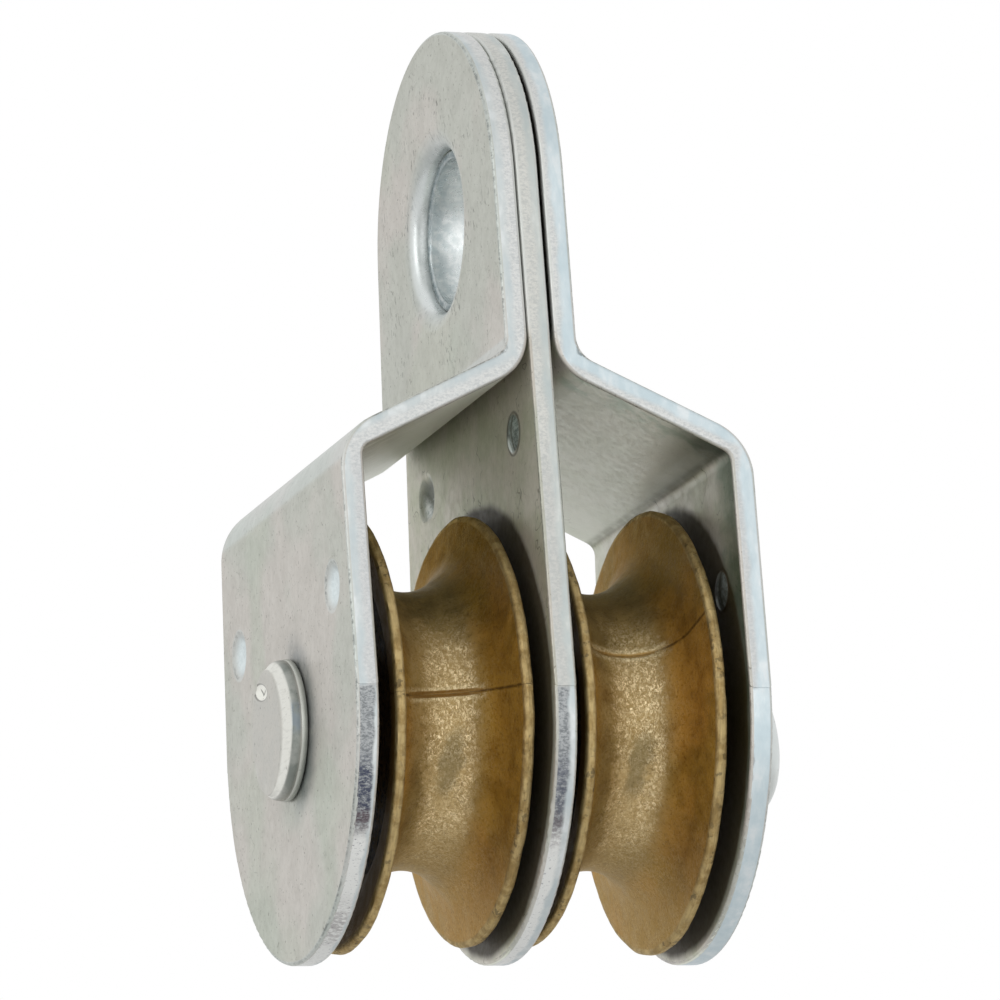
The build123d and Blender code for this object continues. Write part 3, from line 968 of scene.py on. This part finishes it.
print("zinc plates:", sorted(finishes))

# %% [markdown]
# ## The rivet
#
# The rivet is steel under the same zinc, but it was headed cold and then hammered over, so
# it has no rolled grain. Its head was upset in a worn die: the flat on top sits off centre,
# so the bevel round it is wide at the front and narrow at the back, and the die's joint left
# a rounded band at the foot. A hand punch left one oval dent.
#
# The head is rebuilt as a polar grid, ring by ring from the middle of the flat to the foot,
# because each of those irregular things is a simple sum of a radius and an angle. The shank
# and the upset tail are a copy of the CAD piece, with its own plain head cut away.

# %% Rivet's head
rivet_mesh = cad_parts["axle_rivet"].data
head_verts = [v.co for v in rivet_mesh.vertices if v.co.x < -outer_x - 0.1 * MM]
head_face_x = min(p.x for p in head_verts)
head_r = max(math.hypot(p.y, p.z - axle_z) for p in head_verts)
print(f"head {2 * head_r / MM:.1f} mm across, {(-outer_x - head_face_x) / MM:.2f} mm tall")

RAYS = 300
FLAT_HALF_Y, FLAT_HALF_Z, FLAT_SHIFT = 4.2 * MM, 5.45 * MM, 1.1 * MM
DENT_Y, DENT_Z = 2.1 * MM, 3.75 * MM  # from the axle
DENT_HALF_Y, DENT_HALF_Z = 1.9 * MM, 0.76 * MM
DENT_SHEAR = -0.51  # the oval leans: how far its middle falls along its own length
DENT_DEEP, DENT_BURR = 0.3 * MM, 0.03 * MM


def flat_reach(turn):
    """Radius of the flat on top, an oval set towards the back. A turn of 0 is the front."""
    along, up = -math.cos(turn), math.sin(turn)
    square = (along / FLAT_HALF_Y) ** 2 + (up / FLAT_HALF_Z) ** 2
    slant = along * FLAT_SHIFT / FLAT_HALF_Y ** 2
    inside = 1 - (FLAT_SHIFT / FLAT_HALF_Y) ** 2
    return (slant + math.sqrt(slant ** 2 + square * inside)) / square


def dent(y, z):
    """Depth of the oval punch dent, with a low burr round it."""
    along = (y - DENT_Y) / DENT_HALF_Y
    over = (z - axle_z - DENT_Z) / DENT_HALF_Z + DENT_SHEAR * along
    bowl = max(0.0, 1.0 - along * along - over * over)
    burr = math.exp(-((math.hypot(along, over) - 1.15) / 0.12) ** 2)
    return DENT_DEEP * bowl - DENT_BURR * burr


# %% [markdown]
# One ray of the head runs from the middle of its flat over the bevel, round the shoulder,
# round the band at the foot and down to the plate. The noise that dents the beaten outer
# part is the same on every run.

# %% Rings of the head
FACE_BACK = 0.04 * MM  # how far the flat lies behind the CAD face
BEVEL_FALL = 0.27 * MM
SHOULDER_FALL, SHOULDER_OUT = 0.84 * MM, 0.37 * MM
BAND_BACK, BAND_HALF, BAND_OUT = 1.45 * MM, 0.27 * MM, 0.1 * MM
FOOT_BACK = 1.73 * MM


def head_rings(turn):
    """Places down one ray of the head, each as a distance behind the face and a radius."""
    shoulder = head_r - 0.45 * MM
    flat = min(flat_reach(turn), shoulder - 0.1 * MM)
    ring = [(FACE_BACK, flat * k / 80) for k in range(1, 81)]
    for k in range(1, 25):
        share = k / 24
        ring.append((FACE_BACK + BEVEL_FALL * share ** 1.4, flat + (shoulder - flat) * share))
    for k in range(1, 17):
        swing = math.radians(90 * k / 16)
        back = FACE_BACK + BEVEL_FALL + SHOULDER_FALL * (1 - math.cos(swing))
        ring.append((back, shoulder + SHOULDER_OUT * math.sin(swing)))
    for k in range(9):
        swing = math.radians(-80 + 20 * k)
        ring.append((BAND_BACK + BAND_HALF * math.sin(swing),
                     head_r - BAND_OUT + BAND_OUT * math.cos(swing)))
    foot_r = head_r - 0.85 * MM
    return ring + [(FOOT_BACK, foot_r), (-outer_x - head_face_x, foot_r)]


def beaten_place(back, radius, turn):
    """One point of the head, dented by the punch and beaten a little near its outer part."""
    y = -radius * math.cos(turn)
    z = axle_z + radius * math.sin(turn)
    place = Vector((head_face_x + back, y, z))
    if back < 1.2 * MM:
        place.x += max(dent(y, z), -DENT_BURR)
        beaten = abs(steady_noise.noise(place * 520.0) * 0.06 * MM)
        outer_part = min(1.0, max(0.0, (radius - 0.6 * head_r) / (0.3 * head_r)))
        place += Vector((beaten, 0, 0)) * outer_part
    return place


# %% [markdown]
# The rays are joined into quads, and two fans of triangles close the grid at its ends.

# %% Polar grid of the head


def rivet_head(shape):
    """The head as a closed polar grid, added to a bmesh."""
    rays = []
    for ray in range(RAYS):
        turn = 2 * math.pi * ray / RAYS
        rays.append([shape.verts.new(beaten_place(back, radius, turn))
                     for back, radius in head_rings(turn)])
    top = shape.verts.new((head_face_x + FACE_BACK, 0.0, axle_z))
    foot = shape.verts.new((-outer_x, 0.0, axle_z))
    for first, second in zip(rays, rays[1:] + rays[:1]):
        shape.faces.new((top, first[0], second[0]))
        shape.faces.new((foot, second[-1], first[-1]))
        for k in range(len(first) - 1):
            shape.faces.new((first[k], first[k + 1], second[k + 1], second[k]))


# %% [markdown]
# The cut CAD copy is left open where its head was, and the hole is filled, so each of the
# two shells is closed.

# %% Join the head to the shank


def headless_copy(shape):
    """The CAD rivet without its head, closed again at the plate, added to a bmesh."""
    shape.from_mesh(rivet_mesh)
    bmesh.ops.remove_doubles(shape, verts=shape.verts, dist=1e-6)
    shank_r = 0.7 * head_r
    cut = [v for v in shape.verts
           if v.co.x < -outer_x - 0.01 * MM
           or (v.co.x < -outer_x + 0.01 * MM and math.hypot(v.co.y, v.co.z - axle_z) > shank_r)]
    bmesh.ops.delete(shape, geom=cut, context="VERTS")
    bmesh.ops.holes_fill(shape, edges=[e for e in shape.edges if e.is_boundary])
    assert not [e for e in shape.edges if e.is_boundary]


def piece_from(shape, name, body, finish, slot, sharp, *nodes):
    """A finished piece made from a bmesh, riding on its body."""
    bmesh.ops.recalc_face_normals(shape, faces=shape.faces)
    mesh = bpy.data.meshes.new(name)
    shape.to_mesh(mesh)
    shape.free()
    mesh.materials.append(finish)
    mesh.shade_smooth()
    mesh.set_sharp_from_angle(angle=math.radians(sharp))
    made = bpy.data.objects.new(name, mesh)
    bpy.context.collection.objects.link(made)
    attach(made, body)
    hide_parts(*nodes)
    print(f"{name}: {len(mesh.polygons)} faces")


# %% [markdown]
# The finish follows the head's own height, and much of it is painted light and shade. The
# bevel is painted the brightest part, as a highlight; the shoulder under it is painted dull, as
# shade; and the band at the foot is painted pale again, as a highlight.

# %% Rivet finish


def with_dent(y, z, behind, tint):
    """The punch dent: painted bright as a lit hollow, with a fine dark outline of painted shade and a
    small tick in it.
    """
    along = (y - DENT_Y) / DENT_HALF_Y
    over = (z - (axle_z + DENT_Z)) / DENT_HALF_Z + along * DENT_SHEAR
    dent_r = maths("SQRT", along * along + over * over)
    on_face = fade(behind, 0.6 * MM, 0.5 * MM)
    # the dent's inside is painted bright as a lit hollow, and its outline as shade
    tint = blend(fade(dent_r, 0.95, 0.85) * on_face * 0.9, tint, srgb(234, 234, 226))
    outline = fade(abs(dent_r - 1.0), 0.12, 0.04)
    arm = over - (abs(along) * 1.8 - 0.3)
    tick = fade(abs(arm), 0.22, 0.1) * fade(abs(along), 0.4, 0.3)
    drawn = maths("MAXIMUM", outline * 0.6, tick) * on_face
    return darker(drawn * 0.8, tint, srgb(90, 92, 88))


def zinc_rivet(name):
    """Finish of the rivet, from the flat on its head to the tail."""
    made, shader, place = new_material(name)
    at = place["Object"]
    x, y, z = parts_of(at)
    behind = x - head_face_x
    cloud = noise(at, 500.0, 5.0, 0.6)
    tint = blend(fade(cloud, 0.38, 0.62), srgb(178, 177, 170), srgb(188, 186, 179))
    grain = noise(at, 2800.0, 3.0, 0.7)
    tint = darker(fade(grain, 0.5, 0.3, 0.0, 0.4), tint, srgb(206, 207, 204))
    scratched = noise(stretched(at, (1.0, 0.5, 2.0), (0.6, 0.0, 0.0)), 1500.0, 4.0, 0.7)
    # the bevel is painted bright, as a highlight, with scratched streaks
    bevel = fade(behind, 0.05 * MM, 0.12 * MM) * fade(behind, 0.6 * MM, 0.3 * MM)
    bevel_highlight = blend(fade(scratched, 0.5, 0.66), srgb(222, 222, 215), srgb(208, 208, 201))
    tint = blend(bevel * 0.9, tint, bevel_highlight)
    # the shoulder is painted dull, as shade, most at the front, with a darker bluish patch of painted
    # shade
    shoulder = fade(behind, 0.3 * MM, 0.45 * MM) * fade(behind, 1.25 * MM, 0.95 * MM)
    rivet_shoulder_shade = blend(fade(cloud, 0.4, 0.6), srgb(110, 117, 112), srgb(146, 150, 145))
    rivet_shoulder_patch = (fade(abs(z - axle_z), 1.7 * MM, 0.8 * MM) * fade(y, -3.0 * MM, -4.5 * MM)
              * fade(cloud, 0.36, 0.52))
    rivet_shoulder_shade = blend(rivet_shoulder_patch, rivet_shoulder_shade, srgb(104, 116, 124))
    shoulder = shoulder * fade(y, 1.0 * MM, -4.0 * MM, 0.25, 1.0)
    tint = blend(shoulder * 0.85, tint, rivet_shoulder_shade)
    tail = fade(x, 0.0, 1.0 * MM)
    tint = blend(tail * fade(noise(at, 260.0, 4.0), 0.3, 0.7, 0.6, 0.9), tint, srgb(212, 218, 217))
    # the band at the foot is painted pale, as a highlight
    band = fade(behind, 1.1 * MM, 1.3 * MM) * (1.0 - tail)
    tint = blend(band * 0.6, tint, srgb(182, 188, 180))
    tint = with_dent(y, z, behind, tint)
    dirt = specks(at, 2200.0, 0.3, 0.03) * fade(noise(at, 300.0, 2.0), 0.45, 0.6)
    tint = darker(dirt * 0.55, tint, srgb(130, 130, 126))
    rough = fade(cloud, 0.3, 0.7, 0.32, 0.44)
    dress(shader, tint, rough, 0.7, grain + cloud, 0.012 * MM)
    return made


# %% [markdown]
# The two shells go into one bmesh, and so into one piece.

# %% Make the rivet
rivet_shape = bmesh.new()
headless_copy(rivet_shape)
rivet_head(rivet_shape)
finishes["axle_rivet"] = zinc_rivet("rivet_zinc")
piece_from(rivet_shape, "headed_rivet", "frame", finishes["axle_rivet"], "zinc_rivet", 60,
           "axle_rivet")

# %% [markdown]
# ## Brass on the strip
#
# The strip is dull brass, and it shows how it was formed. The rollers break the film in the
# throat into fine wandering flecks, and one upright band of the throat is painted bright as a
# highlight, with the flecks crowded into it. One long rub mark crosses the band where they
# were worn away again. The lips are bare and pale where the strip was slit, and its two ends
# tore a little where they meet. The measures that were stored on the strip when it was
# straight tell its throat, flanks, lips, back and seam apart, wherever the metal was bent to.

# %% Flanks and throat of the strip


def bare_brass(at, off_centre, height):
    """The film on the flanks and in the throat, the flanks painted paler as light, and darker and
    scaly high on the flanges.
    """
    broad = noise(at, 130.0, 3.0, 0.5)
    # painted light and shade: the flanks are painted paler than the throat, against the plates' shade
    flank = blend(fade(broad, 0.4, 0.6), srgb(172, 138, 64), srgb(184, 142, 68))
    throat = blend(fade(broad, 0.4, 0.6), srgb(148, 127, 80), srgb(158, 134, 86))
    tint = blend(fade(off_centre, 2.6 * MM, 5.0 * MM), throat, flank)
    cloud = noise(at, 520.0, 5.0, 0.65)
    tint = darker(fade(cloud, 0.6, 0.36, 0.0, 0.5), tint, srgb(204, 198, 188))
    tint = darker(fade(height, 4.0 * MM, 12.0 * MM) * 0.8, tint, srgb(226, 230, 224))
    crest = fade(height, 9.0 * MM, 16.0 * MM) * fade(off_centre, 4.0 * MM, 6.5 * MM)
    crest = crest * fade(parts_of(at)[0], -1.0 * MM, 1.0 * MM, 1.0, 0.45)
    tint = darker(crest * 0.85, tint, srgb(212, 200, 156))
    scaly = noise(at, 1500.0, 5.0, 0.75)
    tint = darker(crest * fade(scaly, 0.56, 0.4) * 0.5, tint, srgb(170, 156, 128))
    foot = fade(height, -8.0 * MM, -14.0 * MM)
    return blend(foot * 0.5, tint, srgb(158, 132, 86)), cloud, crest, foot


# %% [markdown]
# The flecks are a stretched noise, cut off sharply. A painted highlight lights one upright
# band of the throat; the flecks are many in it and few elsewhere, and one long aslant mark in
# the band dulls them.

# %% Flecks and the rub mark
MARK_HEIGHT, MARK_ACROSS = -4.8 * MM, 0.9 * MM
MARK_HALF_LONG, MARK_HALF_WIDE, MARK_LEAN = 2.6 * MM, 1.1 * MM, 0.5 * MM


def with_flecks(at, across, height, cloud, crest, foot, tint):
    """The bright flecks, crowded into a painted highlight band, the rub mark, and how far a point is
    on a fleck.
    """
    ragged = (noise(at, 900.0, 4.0, 0.7) - 0.5) * (2.4 * MM)
    off_band = abs(across + ragged - 0.8 * MM)
    # a painted highlight: one upright band of the throat, paler in its lower half, where the flecks
    # crowd
    lit = (fade(height, 9.0 * MM, 3.5 * MM) * fade(height, -13.0 * MM, -8.5 * MM)
           * fade(off_band, 2.9 * MM, 1.5 * MM))
    lower_half = fade(height, -3.5 * MM, -6.0 * MM)
    tint = blend(lit * 0.55, tint, blend(lower_half, srgb(158, 136, 94), srgb(198, 172, 122)))
    fibres = noise(stretched(at, (1.0, 1.0, 0.7)), 3600.0, 7.0, 0.85, Distortion=1.1)
    patch = fade(noise(at, 420.0, 3.0, 0.6), 0.3, 0.6)
    worn = fade(fibres, 0.47, 0.6) * (patch * 0.7 + 0.3)
    spread = lit * 0.9 + crest * 0.14 + foot * 0.12 + 0.08
    tint = blend(worn * spread, tint, srgb(252, 234, 192))

    along_mark = (height - MARK_HEIGHT) / MARK_HALF_LONG
    over_mark = across + ragged - MARK_ACROSS + along_mark * -MARK_LEAN
    over_mark = over_mark / MARK_HALF_WIDE
    mark_r = along_mark * along_mark + over_mark * over_mark + (cloud - 0.5) * 1.6
    return blend(fade(mark_r, 1.7, 0.1) * 0.6, tint, srgb(108, 98, 68)), fibres, worn


# %% [markdown]
# At the seam, the two ends make a brown hollow between edges that tore bright, and a thin
# dark line on the flanges. The lips are streaked along their length.

# %% Seam and lips


def with_seam(at, along, sunk, off_centre, fibres, tint):
    """The two ends of the strip where they meet."""
    from_end = (0.5 - abs(along)) * FULL_TURN * THROAT_R
    torn = (fade(from_end, 0.75 * MM, 0.4 * MM) * fade(fibres, 0.4, 0.6)
            * fade(off_centre, 5.0 * MM, 3.0 * MM))
    tint = blend(torn * 0.7, tint, srgb(226, 212, 174))
    tint = blend(fade(sunk, 0.01 * MM, 0.05 * MM) * 0.85, tint, srgb(150, 118, 62))
    joint = (fade(from_end, 0.15 * MM, 0.05 * MM) * fade(off_centre, 2.8 * MM, 4.2 * MM)
             * fade(noise(at, 1200.0, 4.0, 0.7), 0.34, 0.56, 0.4, 1.0))
    return blend(joint * 0.65, tint, srgb(70, 50, 24))


def with_lips(at, across, depth, along, off_centre, tint):
    """The bare lips, where the strip was slit."""
    grooves = vector_of(at.tree, depth * 5.0, along * 0.09, across)
    streaks = noise(grooves, 900.0, 5.0, 0.7)
    bare = blend(fade(streaks, 0.38, 0.6), srgb(162, 142, 100), srgb(184, 162, 114))
    dirt = specks(at, 1700.0, 0.38, 0.05) * fade(noise(at, 240.0, 2.0), 0.4, 0.6)
    bare = blend(dirt * 0.6, bare, srgb(84, 76, 60))
    bare = darker(fade(noise(at, 700.0, 5.0, 0.7), 0.58, 0.4, 0.0, 0.6), bare, srgb(190, 174, 142))
    return blend(fade(off_centre, 9.45 * MM, 9.65 * MM), tint, bare)


# %% [markdown]
# The finish reads the stored measures with Attribute nodes and hands them to the layers. The
# back of the strip, where it left the core, is painted dark brown and less metallic, partly as
# a stain and partly as painted shade between the flange and the plate.

# %% Brass finish


def brass_strip(name):
    """Finish of both strips, laid out by the measures stored on them."""
    made, shader, place = new_material(name)
    at = place["Object"]
    across, depth, along, sunk = [
        result(made.node_tree, "ShaderNodeAttribute", output="Fac", attribute_name=kept)
        for kept in ("across", "depth", "along", "sunk")]
    off_centre = abs(across)
    height = parts_of(at)[2] - axle_z

    tint, cloud, crest, foot = bare_brass(at, off_centre, height)
    tint, fibres, worn = with_flecks(at, across, height, cloud, crest, foot, tint)
    grain = noise(at, 3600.0, 3.0, 0.7)
    tint = darker(fade(grain, 0.5, 0.3, 0.0, 0.6), tint, srgb(186, 178, 164))
    tint = with_seam(at, along, sunk, off_centre, fibres, tint)
    tint = with_lips(at, across, depth, along, off_centre, tint)
    # the back is painted dark, partly as a stain and partly as shade between flange and plate
    back = fade(depth, 0.5 * MM, 0.9 * MM) * fade(off_centre, 9.7 * MM, 9.3 * MM)
    tint = blend(back * 0.9, tint, srgb(104, 78, 36))

    rough = fade(cloud, 0.3, 0.7, 0.38, 0.54)
    bumps = grain * 0.5 + cloud + worn * 0.25
    feed(shader.inputs["Specular IOR Level"], 0.2)
    # seen aslant, clean brass mirrors the room and pales; the film on the crests stays brown
    film = blend(crest, srgb(242, 232, 212), srgb(226, 204, 156))
    feed(shader.inputs["Specular Tint"], film)
    dress(shader, tint, rough, fade(back, 0.0, 1.0, 0.8, 0.3), bumps, 0.03 * MM)
    return made


# %% [markdown]
# ## Core and bush
#
# Each sheave is filled by a sintered core, and it turns on a bronze bush that was soaked in
# oil. Both are pressed from powder, so they are grainy and matt, with open pores, and they
# sit deep between the plates where grease and shadow hide them.

# %% Powder finishes


def pressed_powder(name, dark, pale, scale, metallic):
    """Finish of a piece pressed from powder, between its dark and its pale colour."""
    made, shader, place = new_material(name)
    at = place["Object"]
    grain = noise(at, scale, 4.0, 0.7)
    tint = blend(fade(grain, 0.35, 0.65), dark, pale)
    pores = specks(at, 2.2 * scale, 0.4, 0.08)
    tint = darker(pores * 0.8, tint, srgb(60, 55, 50))
    dress(shader, tint, fade(grain, 0.3, 0.7, 0.45, 0.7), metallic, grain - pores, 0.04 * MM)
    return made


# %% [markdown]
# ## Wrapping the two strips
#
# A modifier runs the tree, and its inputs are set by the identifiers that the tree's
# interface gives them. The modifier's result is then kept as a plain mesh, so that what is
# handed on is an ordinary object that rides on its sheave.

# %% Wrap the strips
brass = brass_strip("worn_brass")


def wrapped_strip(name, body, node, **values):
    """A strip wrapped into a sheave, riding on its body in place of the plain CAD rim."""
    holder = bpy.data.objects.new(name + "_tree", bpy.data.meshes.new(name + "_start"))
    bpy.context.collection.objects.link(holder)
    modifier = holder.modifiers.new("wrap", "NODES")
    modifier.node_group = STRIP_TREE
    wanted = {key.replace("_", " ").title(): value for key, value in values.items()}
    for item in STRIP_TREE.interface.items_tree:
        if item.in_out == "INPUT" and item.name in wanted:
            modifier[item.identifier] = wanted.pop(item.name)
    assert not wanted, wanted
    evaluated = holder.evaluated_get(bpy.context.evaluated_depsgraph_get())
    mesh = bpy.data.meshes.new_from_object(evaluated)
    holder.modifiers.remove(modifier)
    bpy.data.objects.remove(holder)

    shape = bmesh.new()
    shape.from_mesh(mesh)
    bpy.data.meshes.remove(mesh)
    reach = max(math.hypot(v.co.y, v.co.z - axle_z) for v in shape.verts)
    print(f"{name}: {reach / MM:.2f} mm out from the axle")
    piece_from(shape, name, body, brass, "brass_strip", 50, node)


wrapped_strip(
    "left_wrapped_strip", "left_sheave", "left_sheave_rim", centre_x=-sheave_x, axle_height=axle_z,
    seam_turn=math.radians(4.2), seam_lean=math.tan(math.radians(11.0)),
    seam_skew=math.tan(math.radians(-4.0)), seam_dip=0.3 * MM, side_shift=-0.3 * MM, seed=3.0,
    material=brass)
wrapped_strip(
    "right_wrapped_strip", "right_sheave", "right_sheave_rim", centre_x=sheave_x, axle_height=axle_z,
    seam_turn=math.radians(22.0), seam_dip=0.06 * MM, side_shift=0.4 * MM, seed=8.0,
    material=brass)

# %% [markdown]
# ## Dressing the CAD pieces
#
# The plates, the cores and the bushes keep their CAD shape and only take a better finish.
# The hidden CAD pieces that were replaced take one too, so nothing is left plain.

# %% Give each piece its finish
sintered = pressed_powder("sintered_iron", srgb(70, 54, 32), srgb(112, 90, 54), 1100.0, 0.3)
bronze = pressed_powder("oily_bronze", srgb(58, 40, 22), srgb(96, 70, 40), 1300.0, 0.8)
for side in ("left", "right"):
    finishes[side + "_sheave_hub"] = sintered
    finishes[side + "_sheave_bush"] = bronze
    finishes[side + "_sheave_rim"] = brass
for name, finish in finishes.items():
    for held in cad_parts[name].material_slots:
        held.material = finish
print("dressed:", sorted(finishes))

# %% [markdown]
# ## Light
#
# Plated metal looks like what stands round it, so the surroundings matter more than the
# lamps. The block stands in an even white room. One broad soft lamp in front fills the bays
# and both grooves, and a narrow upright one far to the left draws the bright line down the
# lip of the eye. The background is white to the camera but dimmer as a lamp, so that shadows
# keep their depth.

# %% Studio
world = bpy.data.worlds.new("studio")
bpy.context.scene.world = world
world.use_nodes = True
sky = world.node_tree
sky.nodes.clear()
rays = wires_of(add_node(sky, "ShaderNodeLightPath"))
seen = maths("MAXIMUM", rays["Is Camera Ray"],
             maths("MAXIMUM", rays["Is Glossy Ray"], rays["Is Transmission Ray"]))
inputs = {"Color": (1.0, 1.0, 1.0, 1.0), "Strength": fade(seen, 0.0, 1.0, 0.85, 1.0)}
add_node(sky, "ShaderNodeOutputWorld", {"Surface": result(sky, "ShaderNodeBackground", inputs)})

LAMP_AIM = Vector((0.0, 0.0, -0.035))  # near the middle of the block


def softbox(name, at, size, watts):
    """A soft rectangular lamp turned towards the block."""
    lamp = bpy.data.objects.new(name, bpy.data.lights.new(name, "AREA"))
    bpy.context.collection.objects.link(lamp)
    lamp.data.shape = "RECTANGLE"
    lamp.data.size, lamp.data.size_y = size
    lamp.data.energy = watts
    lamp.location = at
    lamp.rotation_mode = "QUATERNION"
    lamp.rotation_quaternion = (LAMP_AIM - Vector(at)).to_track_quat("-Z", "Y")
    print(f"{name}: {watts} W")


softbox("broad_front", (-0.05, -0.85, -0.1), (1.2, 0.9), 2.2)
softbox("upright_left", (-0.8, -0.25, 0.2), (0.2, 0.6), 1.0)

# %% [markdown]
# ## Floor
#
# A pale floor lies well below the block, where it gives the undersides something to
# reflect without catching a shadow in view.

# %% Floor
FLOOR_DROP = 0.6
bpy.ops.mesh.primitive_plane_add(size=6, location=(0.0, 0.0, -FLOOR_DROP))
floor = bpy.context.object
floor.name = "floor"
ground, shader, place = new_material("pale_floor")
cloud = noise(place["Object"], 3.0, 3.0)
tint = blend(fade(cloud, 0.3, 0.7), (0.79, 0.79, 0.79, 1.0), (0.81, 0.81, 0.81, 1.0))
dress(shader, tint, 0.8, 0.0)
floor.data.materials.append(ground)
print(f"floor {FLOOR_DROP} m under the eye")

bpy.context.scene.view_settings.view_transform = "Standard"
